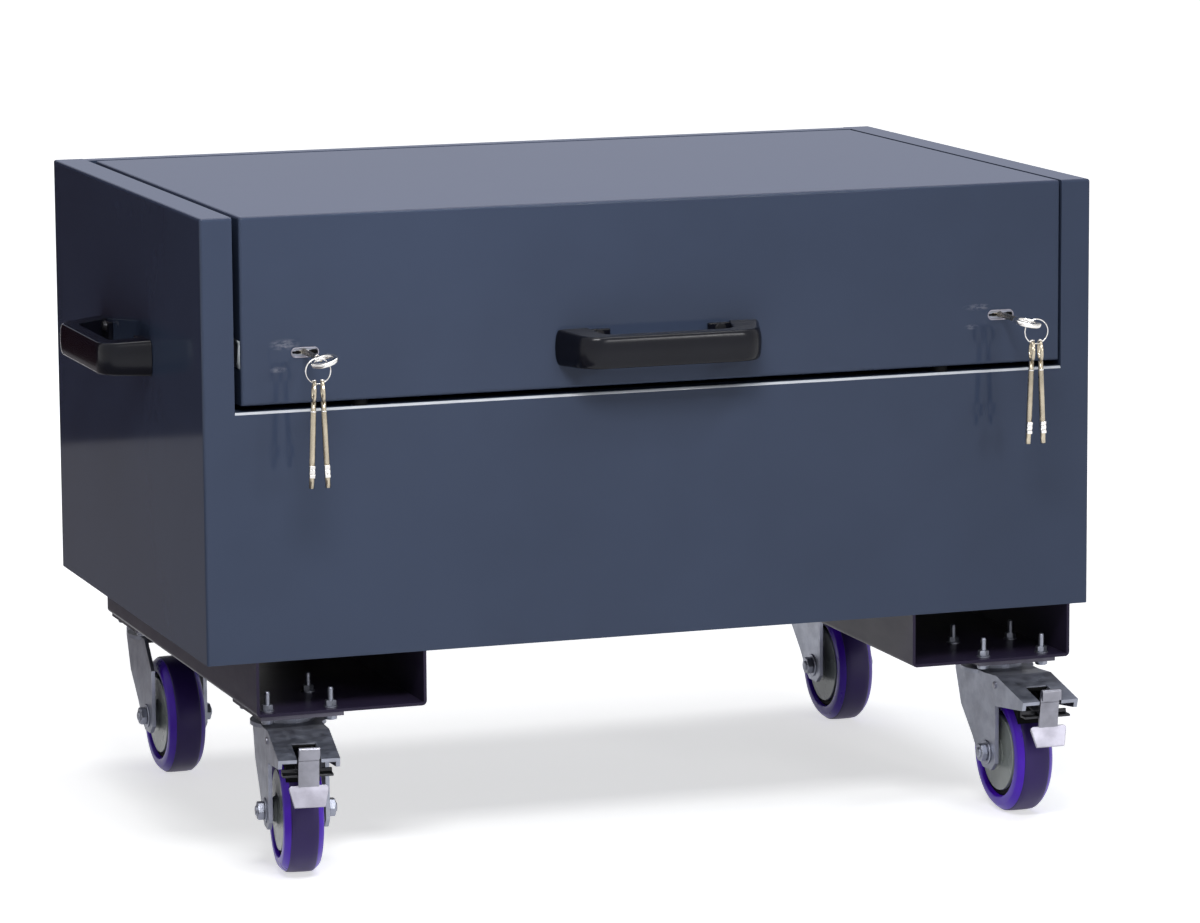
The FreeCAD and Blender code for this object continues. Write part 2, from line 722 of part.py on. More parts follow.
def handle(name, x, y, z, turn):
    body = new_body(name)
    half = [
        ("handle_length / 2", "0"), ("handle_length / 2 - handle_slope", "-handle_reach"),
    ]
    inner = [
        ("handle_length / 2 - handle_leg - 7", "-handle_reach + handle_bar"),
        ("handle_length / 2 - handle_leg", "-handle_foot_thick"),
        ("handle_length / 2 - handle_leg - handle_foot", "-handle_foot_thick"),
        ("handle_length / 2 - handle_leg - handle_foot", "0"),
    ]
    outline = half + [("-1 * (%s)" % u, v) for u, v in half[::-1]]
    outline += [("-1 * (%s)" % u, v) for u, v in inner[::-1]] + inner
    add_prism(body, "z", "-handle_height / 2", "handle_height / 2", outline)
    holes = []
    for row in screw_rows:
        for end in ("-handle_screw_x", "handle_screw_x"):
            holes.append((end, row, "screw_hole"))
    cut_prism(body, "y", "-handle_foot_thick - 1", "1", circles=holes)
    shoulder = "handle_length / 2 - handle_slope"
    inside = "handle_length / 2 - handle_leg - 7"
    round_edges(body, "handle_round", [
        {"x": shoulder, "y": "-handle_reach"}, {"x": "-1 * (%s)" % shoulder, "y": "-handle_reach"},
    ])
    round_edges(body, "handle_bar / 2", [
        {"x": inside, "y": "-handle_reach + handle_bar"},
        {"x": "-1 * (%s)" % inside, "y": "-handle_reach + handle_bar"},
    ])
    round_edges(body, "handle_edge", [
        {"y": "-handle_reach", "z": "-handle_height / 2"},
        {"y": "-handle_reach", "z": "handle_height / 2"},
    ])
    return node(put(body, x, y, z, turn), name)


def screw_set(name, turn, spots):
    """Pan-head screws on the local -Y side with nuts inside the sheet."""
    members = []
    for index, (x, y, z) in enumerate(spots):
        label = "%s_%d" % (name, index)
        screw = fuse("screw_" + label, [
            cylinder("screw_head_" + label, "screw_radius * 1.9",
                     "handle_foot_thick", "handle_foot_thick + 3"),
            cylinder("screw_shank_" + label, "screw_radius",
                     "-sheet - 6", "handle_foot_thick + 1"),
        ])
        nut = cut("screw_nut_" + label,
                  hexagon("screw_nut_body_" + label, "8", "-sheet - 4", "-sheet"),
                  cylinder("screw_nut_bore_" + label, "screw_radius + running_gap",
                           "-sheet - 5", "-sheet + 1"))
        members.append(put(screw, x, y, z, turn))
        members.append(put(nut, x, y, z, turn))
    return members


outward = {"left": Rotation(Vector(0, 1, 0), -90), "right": Rotation(Vector(0, 1, 0), 90)}
handle("front_handle", "0", "front_y", "front_handle_z", Rotation())
side_screws = []
for name, side in SIDES.items():
    face_x = mirror_x(side, "half_width")
    handle(name + "_side_handle", face_x, "middle_y", "side_handle_z",
           Rotation(Vector(0, 0, 1), 90 * side))
    spots = []
    for row in screw_rows:
        for end in ("-handle_screw_x", "handle_screw_x"):
            spots.append((face_x, "middle_y + " + end, "side_handle_z + " + row))
    side_screws += screw_set("side_" + name, outward[name], spots)
node(group("side_handle_screws", side_screws), "side_handle_screws")
spots = []
for row in screw_rows:
    for end in ("-handle_screw_x", "handle_screw_x"):
        spots.append((end, "front_y", "front_handle_z + " + row))
front_screws = screw_set("front", Rotation(Vector(1, 0, 0), 90), spots)
node(group("front_handle_screws", front_screws), "front_handle_screws")


# Lid shell and stiffener

keyhole_x = {"left": "lid_left_x + lock_inset", "right": "lid_right_x - lock_inset"}
lid_edge_x = {"left": "lid_left_x", "right": "lid_right_x"}

lid = node(new_body("lid_shell"), "lid_shell")
add_prism(lid, "x", "lid_left_x", "lid_right_x", [
    ("front_y", "flap_z"), ("front_y + lid_flange", "flap_z"),
    ("front_y + lid_flange", "top_z - lid_flange"), ("lid_back_y", "top_z - lid_flange"),
    ("lid_back_y", "top_z"), ("front_y", "top_z"),
])
cut_prism(lid, "x", "lid_left_x + sheet", "lid_right_x - sheet", [
    ("front_y + sheet", "flap_z + sheet"), ("front_y + lid_flange + 1", "flap_z + sheet"),
    ("front_y + lid_flange + 1", "top_z - lid_flange - 1"),
    ("lid_back_y - sheet", "top_z - lid_flange - 1"), ("lid_back_y - sheet", "top_z - sheet"),
    ("front_y + sheet", "top_z - sheet"),
])
flap_holes = []
for row in screw_rows:
    for end in ("-handle_screw_x", "handle_screw_x"):
        flap_holes.append((end, "front_handle_z + " + row, "screw_hole"))
cut_prism(lid, "y", "front_y - 1", "front_y + sheet + 1", circles=flap_holes)
for name, side in SIDES.items():
    centre = keyhole_x[name]
    straight = "(keyhole_wide - keyhole_tall) / 2"
    cut_prism(lid, "y", "front_y - 1", "front_y + sheet + 1", rectangle(
        centre + " - " + straight, "lock_z - keyhole_tall / 2",
        centre + " + " + straight, "lock_z + keyhole_tall / 2"))
    for end in ("-", "+"):
        cut_prism(lid, "y", "front_y - 1", "front_y + sheet + 1", circles=[
            ("%s %s %s" % (centre, end, straight), "lock_z", "keyhole_tall / 2")])
    cut_prism(lid, "x", lid_edge_x[name] + (" - 1" if side < 0 else " - sheet - 1"),
              lid_edge_x[name] + (" + sheet + 1" if side < 0 else " + 1"), rectangle(
                  "bolt_bar_y - bolt_bar_thick / 2 - 4", "lock_z - forend_tall / 2",
                  "bolt_bar_y + bolt_bar_thick / 2 + 4", "lock_z + forend_tall / 2"))
round_edges(lid, "fold_radius", [
    {"y": "front_y", "z": "top_z"}, {"x": "lid_left_x", "z": "top_z"},
    {"x": "lid_right_x", "z": "top_z"}, {"x": "lid_left_x", "y": "front_y"},
    {"x": "lid_right_x", "y": "front_y"}, {"y": "front_y", "z": "flap_z"},
])

stiffener = node(new_body("lid_stiffener"), "lid_stiffener")
brim = "stiffener_width / 2 - 12"
add_prism(stiffener, "x", "lid_left_x + 46", "lid_right_x - 46", [
    ("middle_y - stiffener_width / 2", "top_z - sheet"),
    ("middle_y - stiffener_width / 2", "top_z - sheet - stiffener_sheet"),
    ("middle_y - (%s)" % brim, "top_z - sheet - stiffener_sheet"),
    ("middle_y - (%s)" % brim, "top_z - sheet - stiffener_depth"),
    ("middle_y + (%s)" % brim, "top_z - sheet - stiffener_depth"),
    ("middle_y + (%s)" % brim, "top_z - sheet - stiffener_sheet"),
    ("middle_y + stiffener_width / 2", "top_z - sheet - stiffener_sheet"),
    ("middle_y + stiffener_width / 2", "top_z - sheet"),
])
cut_prism(stiffener, "x", "lid_left_x + 45", "lid_right_x - 45", rectangle(
    "middle_y - (%s) + stiffener_sheet" % brim, "top_z - sheet - stiffener_depth + stiffener_sheet",
    "middle_y + (%s) - stiffener_sheet" % brim, "top_z - sheet + 1"))

buffers = []
for name, side in SIDES.items():
    buffer_pad = cylinder(name + "_lid_buffer", "buffer_radius", "0", "lid_gap_below - close_gap")
    buffers.append(put(buffer_pad, mirror_x(side, "lip_x - buffer_inset"),
                       "front_y + sill_lip / 2 + 1", "sill_z"))
node(group("lid_buffers", buffers), "lid_buffers")


# Hinge: two leaves with turned knuckles on one pin


def knuckle_span(index):
    start = "hinge_left_x + knuckle_length * %d" % index
    end = "hinge_left_x + knuckle_length * %d - knuckle_gap" % (index + 1)
    return start, end


def hinge_leaf(name, side, first):
    """Side 1 is the leaf on the box, side -1 the leaf on the lid."""
    near = "hinge_y + %d * (hinge_gap - hinge_leaf_sheet)" % side
    far = "hinge_y + %d * hinge_gap" % side
    members = [block(name + "_plate", "hinge_left_x", "-hinge_left_x",
                     near if side > 0 else far, far if side > 0 else near,
                     "hinge_z - hinge_leaf_drop", "leaf_top_z")]
    for index in range(first, 21, 2):
        start, end = knuckle_span(index)
        label = "%s_%d" % (name, index)
        barrel = cylinder("barrel_" + label, "knuckle_radius", start, end,
                          "x", ("hinge_y", "hinge_z"))
        tab = block("tab_" + label, start, end, near if side > 0 else far,
                    far if side > 0 else near, "leaf_top_z - 1", "hinge_z")
        members += [barrel, tab]
    bore = cylinder(name + "_bore", "knuckle_hole", "hinge_left_x - 5", "-hinge_left_x + 5",
                    "x", ("hinge_y", "hinge_z"))
    return node(cut(name, fuse(name + "_blank", members), bore), name)


hinge_leaf("hinge_body_leaf", 1, 0)
hinge_leaf("hinge_lid_leaf", -1, 1)
node(cylinder("hinge_pin", "hinge_pin_radius", "hinge_left_x - 1", "-hinge_left_x + 1",
              "x", ("hinge_y", "hinge_z")), "hinge_pin")


# Locks: case, bolt bar, strike plate


strikes = []
for name, side in SIDES.items():
    edge = lid_edge_x[name]
    far = "%s - %d * lock_case_long" % (edge, side)
    near = "%s - %d * (sheet + 2)" % (edge, side)
    case_x = (near, far) if side < 0 else (far, near)
    wall_x = (case_x[0] + " + sheet", case_x[1] + " - sheet")
    forend_x = (edge, near) if side < 0 else (near, edge)
    slot_x = ((edge + " - 1", near + " + sheet + 1") if side < 0
              else (near + " - sheet - 1", edge + " + 1"))
    case = node(new_body(name + "_lock_case"), name + "_lock_case")
    add_prism(case, "y", "case_y", "case_y + lock_case_deep", rectangle(
        case_x[0], "lock_z - lock_case_tall / 2", case_x[1], "lock_z + lock_case_tall / 2"))
    add_prism(case, "x", forend_x[0], forend_x[1], rectangle(
        "bar_low_y - 4", "lock_z - forend_tall / 2", "bar_high_y + 4", "lock_z + forend_tall / 2"))
    cut_prism(case, "y", "case_y + sheet", "case_y + lock_case_deep - sheet", rectangle(
        wall_x[0], "lock_z - lock_case_tall / 2 + sheet",
        wall_x[1], "lock_z + lock_case_tall / 2 - sheet"))
    cut_prism(case, "x", slot_x[0], slot_x[1], rectangle(
        "bar_low_y - close_gap", "lock_z - bolt_bar_tall / 2 - close_gap",
        "bar_high_y + close_gap", "lock_z + bolt_bar_tall / 2 + close_gap"))
    centre = keyhole_x[name]
    cut_prism(case, "y", "case_y - 1", "case_y + sheet + 1", rectangle(
        centre + " - bit_reach - close_gap", "lock_z - bow_thick / 2 - close_gap",
        centre + " + bit_reach + close_gap", "lock_z + bow_thick / 2 + close_gap"))
    cut_prism(case, "y", "case_y - 1", "case_y + sheet + 1",
              circles=[(centre, "lock_z", "shank_radius + close_gap")])

    bar_end = "%s - %d * bolt_bar_long" % (edge, side)
    bar_x = (edge, bar_end) if side < 0 else (bar_end, edge)
    bar = node(new_body(name + "_lock_bolt"), name + "_lock_bolt")
    add_prism(bar, "x", bar_x[0], bar_x[1], rectangle(
        "bar_low_y", "lock_z - bolt_bar_tall / 2", "bar_high_y", "lock_z + bolt_bar_tall / 2"))

    strike = new_body(name + "_strike_plate")
    start, end = span_x(side, "lip_x + sheet", "lip_x + sheet + 3")
    add_prism(strike, "x", start, end, rectangle(
        "front_y + sheet", "lock_z - 28", "front_y + post_lip", "lock_z + 28"))
    cut_prism(strike, "x", start + " - 1", end + " + 1", strike_hole())
    strikes.append(strike)
node(group("strike_plates", strikes), "strike_plates")


# Keys and key rings


def key(name):
    """Bow centre at the local origin, shank along +Y, bow flat in XY."""
    bow = cut("bow_" + name,
              cylinder("bow_disc_" + name, "bow_radius", "-bow_thick / 2", "bow_thick / 2"),
              cylinder("bow_hole_" + name, "bow_hole_radius", "-bow_thick", "bow_thick"))
    shank = cylinder("shank_" + name, "shank_radius", "bow_radius - 2", "bit_end", "y")
    collar = cylinder("collar_" + name, "shank_radius + 0.9", "bow_radius + 1",
                      "bow_radius + 4", "y")
    tip = cylinder("tip_" + name, "shank_radius - 0.5", "bit_end - 2", "bit_end + 5.2", "y")
    bit = block("bit_" + name, "-bit_reach", "bit_reach", "bit_end - bit_long", "bit_end",
                "-bow_thick / 2", "bow_thick / 2")
    return fuse(name, [bow, shank, collar, tip, bit])


def hanging(tilt):
    """The turn from a key in its lock to a key hanging on the ring."""
    level = Rotation(Vector(0, 0, 1), -90).multiply(Rotation(Vector(1, 0, 0), -90))
    return Rotation(Vector(0, 1, 0), tilt).multiply(level)


for name, side in SIDES.items():
    key_x = keyhole_x[name]
    ring_x = "%s + %d * bow_web" % (key_x, side)
    node(put(key(name + "_key"), key_x, "bow_y", "lock_z"), name + "_key")
    ring = doc.addObject("Part::Torus", name + "_key_ring")
    ring.setExpression("Radius1", link("ring_radius"))
    ring.setExpression("Radius2", link("ring_wire"))
    node(put(ring, ring_x, "bow_y", "ring_z", Rotation(Vector(1, 0, 0), 90)), name + "_key_ring")
    for spare, step in (("a", -1), ("b", 1)):
        label = "%s_spare_key_%s" % (name, spare)
        spare_x = "%s + %d * (spare_offset + 0.3)" % (ring_x, step)
        node(put(key(label), spare_x, "bow_y", "spare_bow_z", hanging(-2.4 * step)), label)


# Gas struts and their brackets


def strut_half(name, members, bores):
    """One end of a strut: an eye on the X axis with what runs along Z, then the bores."""
    eye = cylinder("eye_" + name, "strut_eye_radius", "-eye_half", "eye_half", "x")
    eye_hole = cylinder("eye_hole_" + name, "strut_stud_radius + running_gap", "-10", "10", "x")
    blank = fuse("strut_blank_" + name, [eye] + members)
    if bores:
        eye_hole = fuse("strut_bores_" + name, [eye_hole] + bores)
    thing = cut("strut_" + name, blank, eye_hole)
    thing.Placement = Placement(Vector(0, 0, 0), Rotation(Vector(1, 0, 0), 10))
    thing.setExpression("Placement.Rotation.Angle", link("strut_lean"))
    return node(thing, name)


def across_x(name, side, radius, inner, outer, at):
    start, end = span_x(side, inner, outer)
    return cylinder(name, radius, start, end, "x", at)


body_brackets = []
lid_brackets = []
for name, side in SIDES.items():
    strut_x = mirror_x(side, "strut_x")
    neck = cylinder("neck_" + name, "strut_stud_radius", "5", "tube_start + 1")
    tube = cylinder("tube_" + name, "strut_tube_radius", "tube_start", "strut_tube_length")
    bore = cylinder("tube_bore_" + name, "strut_rod_radius + close_gap",
                    "tube_start + 6", "strut_tube_length + 1")
    foot = strut_half(name + "_strut_cylinder", [neck, tube], [bore])
    put(foot, strut_x, "foot_y", "foot_z")
    rod = cylinder("rod_" + name, "strut_rod_radius", "-strut_rod_length", "-5")
    head = strut_half(name + "_strut_rod", [rod], [])
    put(head, strut_x, "head_y", "head_z")

    wall_start, wall_end = span_x(side, "half_width - sheet - 3", "half_width - sheet")
    plate = block("foot_plate_" + name, wall_start, wall_end, "foot_y - 25", "foot_y + 25",
                  "foot_z - 25", "foot_z + 25")
    post = across_x("foot_post_" + name, side, "strut_eye_radius + 1", "ear_x",
                    "half_width - sheet - 1", ("foot_y", "foot_z"))
    stud = across_x("foot_stud_" + name, side, "strut_stud_radius", "strut_x - eye_half - 2",
                    "ear_x + 1", ("foot_y", "foot_z"))
    body_brackets.append(fuse("strut_body_bracket_" + name, [plate, post, stud]))

    ear_start, ear_end = span_x(side, "ear_x", "ear_x + 3")
    pad_start, pad_end = span_x(side, "strut_x - 8", "ear_x + 3")
    pad = block("head_pad_" + name, pad_start, pad_end, "head_y - 22", "head_y + 22",
                "top_z - sheet - 3", "top_z - sheet")
    ear = block("head_ear_" + name, ear_start, ear_end, "head_y - 12", "head_y + 12",
                "head_z - strut_eye_radius - 2", "top_z - sheet - 1")
    stud = across_x("head_stud_" + name, side, "strut_stud_radius", "strut_x - eye_half - 2",
                    "ear_x + 1", ("head_y", "head_z"))
    lid_brackets.append(fuse("strut_lid_bracket_" + name, [pad, ear, stud]))
node(group("strut_body_brackets", body_brackets), "strut_body_brackets")
node(group("strut_lid_brackets", lid_brackets), "strut_lid_brackets")


# Check every object, then write one file for each node

doc.recompute()
for thing in doc.Objects:
    if "Invalid" in thing.State or "Error" in thing.State:
        raise RuntimeError("%s is %s" % (thing.Name, thing.State))
    shape = getattr(thing, "Shape", None)
    if shape is not None and thing.TypeId != "App::Origin" and "Sketch" not in thing.TypeId:
        if not thing.TypeId.startswith("App::") and (shape.isNull() or not shape.isValid()):
            raise RuntimeError("%s has no valid shape" % thing.Name)

os.makedirs("parts", exist_ok=True)
for name, thing in nodes.items():
    thing.Shape.exportStep("parts/%s.step" % name)
print("%d nodes written" % len(nodes))
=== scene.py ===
import json
import math

import bmesh
import bpy
from mathutils import Matrix, Vector


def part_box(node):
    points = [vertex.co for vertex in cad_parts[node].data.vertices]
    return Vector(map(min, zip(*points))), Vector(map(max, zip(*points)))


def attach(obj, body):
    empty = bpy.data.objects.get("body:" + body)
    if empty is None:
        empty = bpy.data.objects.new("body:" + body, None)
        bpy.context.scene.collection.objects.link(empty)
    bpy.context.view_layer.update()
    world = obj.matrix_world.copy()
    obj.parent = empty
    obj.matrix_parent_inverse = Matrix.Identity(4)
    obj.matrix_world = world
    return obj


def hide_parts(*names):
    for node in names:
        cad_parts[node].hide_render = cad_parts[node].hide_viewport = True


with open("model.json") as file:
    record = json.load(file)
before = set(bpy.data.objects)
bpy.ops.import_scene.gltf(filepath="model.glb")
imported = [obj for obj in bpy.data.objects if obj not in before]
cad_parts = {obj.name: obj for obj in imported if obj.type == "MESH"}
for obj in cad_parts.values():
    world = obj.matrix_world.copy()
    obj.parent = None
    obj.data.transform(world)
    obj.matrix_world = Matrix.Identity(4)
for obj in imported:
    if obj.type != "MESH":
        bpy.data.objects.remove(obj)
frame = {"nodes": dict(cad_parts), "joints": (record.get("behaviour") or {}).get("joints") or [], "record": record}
nodes = frame["nodes"]
joints = {joint["name"]: joint for joint in frame["joints"]}
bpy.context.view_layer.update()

SIDES = ("left", "right")
CORNERS = [(end, side) for end in ("front", "rear") for side in SIDES]


# Places read from the frame

def low(node):
    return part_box(node)[0]


def high(node):
    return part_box(node)[1]


def middle(node):
    return (low(node) + high(node)) / 2


FRONT_Y = low("front_panel").y
BASE_Z = low("front_panel").z
HALF = high("right_side_panel").x


# Materials

def new_material(name):
    material = bpy.data.materials.new(name)
    material.use_nodes = True
    tree = material.node_tree
    return material, tree, tree.nodes["Principled BSDF"]


def add(tree, kind, **values):
    node = tree.nodes.new(kind)
    for name, value in values.items():
        if hasattr(node, name):
            setattr(node, name, value)
        else:
            node.inputs[name].default_value = value
    return node


def coordinates(tree, scale=(1, 1, 1), **settings):
    """A thing's own coordinates, scaled by a mapping node."""
    source = add(tree, "ShaderNodeTexCoord")
    mapping = add(tree, "ShaderNodeMapping", Scale=scale, **settings)
    tree.links.new(source.outputs["Object"], mapping.inputs["Vector"])
    return mapping.outputs["Vector"]


def noise(tree, vector, scale, detail=3.0, roughness=0.5):
    node = add(tree, "ShaderNodeTexNoise", Scale=scale, Detail=detail, Roughness=roughness)
    tree.links.new(vector, node.inputs["Vector"])
    return node.outputs["Fac"]


def ramp(tree, factor, stops):
    node = add(tree, "ShaderNodeValToRGB")
    elements = node.color_ramp.elements
    while len(elements) < len(stops):
        elements.new(0.5)
    for element, (position, shade) in zip(elements, stops):
        element.position = position
        element.color = shade + (1.0,)
    tree.links.new(factor, node.inputs["Fac"])
    return node.outputs["Color"]


def map_range(tree, value, start, end, new_start=0.0, new_end=1.0):
    """Map one range of a value onto another."""
    node = add(tree, "ShaderNodeMapRange")
    for name, number in (("From Min", start), ("From Max", end),
                         ("To Min", new_start), ("To Max", new_end)):
        node.inputs[name].default_value = number
    tree.links.new(value, node.inputs["Value"])
    return node.outputs["Result"]


def spread(tree, factor, low_value, high_value):
    """Map the middle of a noise's range onto a pair of values."""
    return map_range(tree, factor, 0.3, 0.7, low_value, high_value)


def maths(tree, operation, *values):
    """One math node; each value is a number or the output of a node."""
    node = add(tree, "ShaderNodeMath", operation=operation)
    for socket, value in zip(node.inputs, values):
        if isinstance(value, (int, float)):
            socket.default_value = value
        else:
            tree.links.new(value, socket)
    return node.outputs[0]


def bump(tree, shader, height, strength, distance):
    """Add a bump on top of those a shader already has."""
    node = add(tree, "ShaderNodeBump", Strength=strength, Distance=distance)
    tree.links.new(height, node.inputs["Height"])
    earlier = shader.inputs["Normal"].links
    if earlier:
        tree.links.new(earlier[0].from_socket, node.inputs["Normal"])
    tree.links.new(node.outputs["Normal"], shader.inputs["Normal"])


def linear(value):
    """An sRGB level from 0 to 255 as linear light."""
    value /= 255
    return value / 12.92 if value <= 0.04045 else ((value + 0.055) / 1.055) ** 2.4


def colour(red, green, blue, factor=1.0):
    return tuple(linear(part) * factor for part in (red, green, blue))


def z_part(tree, kind):
    """The Z part of a thing's own normal or coordinates."""
    source = add(tree, "ShaderNodeTexCoord")
    parts = add(tree, "ShaderNodeSeparateXYZ")
    tree.links.new(source.outputs[kind], parts.inputs["Vector"])
    return parts.outputs["Z"]


def facing_up(tree):
    """0 on upright faces and 1 on level ones, in the thing's own frame."""
    return map_range(tree, z_part(tree, "Normal"), 0.5, 0.95)


def blend(tree, factor, first, second):
    """Mix two colours; each is a colour value or the output of a node."""
    node = add(tree, "ShaderNodeMix", data_type="RGBA")
    tree.links.new(factor, node.inputs["Factor"])
    for name, value in (("A", first), ("B", second)):
        socket = [item for item in node.inputs if item.name == name and item.type == "RGBA"][0]
        if isinstance(value, tuple):
            socket.default_value = value + (1.0,)
        else:
            tree.links.new(value, socket)
    return [item for item in node.outputs if item.type == "RGBA"][0]


def ball(tree, size, centre=(0, 0, 0)):
    """1 at a centre, falling to 0 on an ellipsoid round it."""
    vector = coordinates(tree, size, vector_type="TEXTURE", Location=centre)
    node = add(tree, "ShaderNodeTexGradient", gradient_type="SPHERICAL")
    tree.links.new(vector, node.inputs["Vector"])
    return node.outputs["Fac"]


def scuffs(tree, centre, size):
    """A patch of fine level scratches round a place on the front."""
    lines = noise(tree, coordinates(tree, (1, 1, 2.5)), 130.0, 5.0, 0.65)
    sharp = map_range(tree, lines, 0.42, 0.66, 0.0, 0.6)
    return maths(tree, "MULTIPLY", sharp, ball(tree, size, centre))


def top_fold(tree, height):
    """1 on the rounded bend under a level flange, from a height upward: where a highlight is painted."""
    bend = maths(tree, "COMPARE", z_part(tree, "Normal"), 0.55, 0.4)
    above = maths(tree, "GREATER_THAN", z_part(tree, "Object"), height)
    return maths(tree, "MULTIPLY", bend, above)


RUBBED_PAINT = (0.4, 0.4, 0.45)
# Light grey painted along the front panel's top fold: a painted highlight.
FOLD_PAINTED_HIGHLIGHT = (0.62, 0.64, 0.68)


def paint(name, shade, gloss=(0.05, 0.09), specular=0.12, dust_and_sheen=None, rubbed=(), fold=None):
    """Powder coat: faint clouding, fine orange peel, a level-face tint that is partly dust and partly painted
    sheen, rubbed spots, and a painted highlight on the top fold.
    """
    material, tree, shader = new_material(name)
    vector = coordinates(tree)
    clouds = noise(tree, vector, 3.0, 4.0, 0.6)
    darker = tuple(part * 0.9 for part in shade)
    lighter = tuple(part * 1.08 for part in shade)
    base = ramp(tree, clouds, [(0.3, darker), (0.55, shade), (0.8, lighter)])
    # Level faces blend toward another tone: partly dust, partly a painted sheen that lightens the lid top.
    if dust_and_sheen:
        base = blend(tree, facing_up(tree), base, dust_and_sheen)
    for centre, size in rubbed:
        base = blend(tree, scuffs(tree, centre, size), base, RUBBED_PAINT)
    # The top fold is blended toward light grey: a painted highlight along the bend.
    if fold:
        base = blend(tree, top_fold(tree, fold), base, FOLD_PAINTED_HIGHLIGHT)
    tree.links.new(base, shader.inputs["Base Color"])
    smears = noise(tree, coordinates(tree, (1, 1, 3)), 9.0, 6.0, 0.65)
    tree.links.new(spread(tree, smears, *gloss), shader.inputs["Roughness"])
    shader.inputs["Specular IOR Level"].default_value = specular
    bump(tree, shader, noise(tree, vector, 300.0, 2.0), 0.02, 0.0003)
    bump(tree, shader, noise(tree, vector, 4.0, 2.0), 0.03, 0.0012)
    return material


def metal(name, shade, roughness, streaks=(1, 1, 1), grain=90.0, depth=0.08):
    """Plated steel with clouded plating and a fine grain, drawn out where streaks says so."""
    material, tree, shader = new_material(name)
    vector = coordinates(tree, streaks)
    clouds = noise(tree, coordinates(tree), 38.0, 5.0, 0.6)
    darker = tuple(part * 0.72 for part in shade)
    tree.links.new(ramp(tree, clouds, [(0.3, darker), (0.6, shade), (0.85, shade)]),
                   shader.inputs["Base Color"])
    fine = noise(tree, vector, grain, 4.0, 0.6)
    tree.links.new(spread(tree, fine, *roughness), shader.inputs["Roughness"])
    shader.inputs["Metallic"].default_value = 1.0
    bump(tree, shader, fine, depth, 0.0003)
    return material


def plastic(name, shade, roughness, grain=900.0, depth=0.25, specular=0.3):
    """Moulded plastic or rubber with a fine moulded grain."""
    material, tree, shader = new_material(name)
    vector = coordinates(tree)
    clouds = noise(tree, vector, 14.0, 4.0, 0.6)
    lighter = tuple(part * 1.25 for part in shade)
    tree.links.new(ramp(tree, clouds, [(0.35, shade), (0.75, lighter)]),
                   shader.inputs["Base Color"])
    cells = add(tree, "ShaderNodeTexVoronoi", Scale=grain)
    tree.links.new(vector, cells.inputs["Vector"])
    tree.links.new(spread(tree, noise(tree, vector, 30.0), *roughness),
                   shader.inputs["Roughness"])
    shader.inputs["Specular IOR Level"].default_value = specular
    bump(tree, shader, cells.outputs["Distance"], depth, 0.0002)
    return material


# The centre and half-size of each scuffed patch beside the locks, in metres
SCUFFED = [((-0.387, FRONT_Y, 0.5275), (0.017, 0.02, 0.0065)),
           ((-0.3935, FRONT_Y, 0.503), (0.01, 0.02, 0.0035)),
           ((0.3456, FRONT_Y, 0.528), (0.018, 0.02, 0.004)),
           ((0.339, FRONT_Y, 0.508), (0.009, 0.02, 0.003))]
FOLD_DEPTH = 0.004
BODY = colour(63, 73, 95)
# The shell's level faces take a tint that is partly dust and partly painted sheen.
SHELL = paint("shell_paint", BODY, dust_and_sheen=colour(66, 72, 92), rubbed=SCUFFED)
# The front panel carries the painted highlight along its top fold.
FRONT = paint("front_paint", BODY, fold=high("front_panel").z - FOLD_DEPTH)
CHANNEL = paint("channel_paint", colour(42, 36, 56), (0.3, 0.42), 0.14)
ZINC = metal("zinc_plate", (0.31, 0.325, 0.385), (0.36, 0.52))
# A darker copy of the zinc for the castor top plates: painted shade, as they sit in shadow under the box.
SHADED_ZINC = metal("dull_zinc", (0.10, 0.095, 0.12), (0.4, 0.6))
# Darker and lighter copies of the zinc: the arm's is painted shade, the foot plate's is painted light; the keyhole
# rims wear the lighter one too.
SHADED_ARM_ZINC = metal("arm_zinc_painted_shade", (0.27, 0.27, 0.31), (0.3, 0.45))
LIT_ZINC = metal("zinc_painted_light", (0.40, 0.39, 0.46), (0.3, 0.45))
NICKEL = metal("key_nickel", (0.50, 0.44, 0.34), (0.2, 0.36), (6, 6, 1), 140.0)
BRIGHT = metal("bright_nickel", (0.86, 0.84, 0.82), (0.1, 0.25), grain=140.0)
BLACK_STEEL = metal("screw_steel", (0.05, 0.05, 0.055), (0.35, 0.5))
CHROME = metal("strut_rod_chrome", (0.8, 0.8, 0.82), (0.05, 0.1), depth=0.01)
TUBE = paint("strut_black", colour(24, 24, 26), (0.25, 0.35))
HANDLE = plastic("handle_plastic", colour(15, 16, 24), (0.17, 0.21), depth=0.08, specular=0.2)
RUBBER = plastic("black_rubber", colour(10, 10, 11), (0.6, 0.75), specular=0.08)
CORE = plastic("wheel_grey", colour(144, 150, 147), (0.2, 0.32), 500.0, 0.06)
TYRE = plastic("tyre_purple", colour(78, 22, 190), (0.25, 0.38), 700.0, 0.08)
TREAD = plastic("tyre_tread", colour(46, 30, 88), (0.35, 0.5), 700.0, 0.1)
# A pale grey for the lock's zinc end in the lid gap: painted light.
FOREND_LIGHT_PAINT = plastic("forend_painted_light", colour(190, 196, 200), (0.5, 0.6), 500.0, 0.05)

SLOTS = {
    "shell_paint": SHELL, "channel_paint": CHANNEL, "zinc_plate": ZINC, "key_nickel": NICKEL,
    "screw_steel": BLACK_STEEL, "strut_rod_chrome": CHROME, "strut_black": TUBE,
    "handle_plastic": HANDLE, "black_rubber": RUBBER, "wheel_grey": CORE,
    "tyre_purple": TYRE,
}


def wear(thing, material):
    thing.data.materials.clear()
    thing.data.materials.append(material)


for part in frame["record"]["subparts"]:
    wear(nodes[part["node"]], SLOTS[part["material_slot"]])
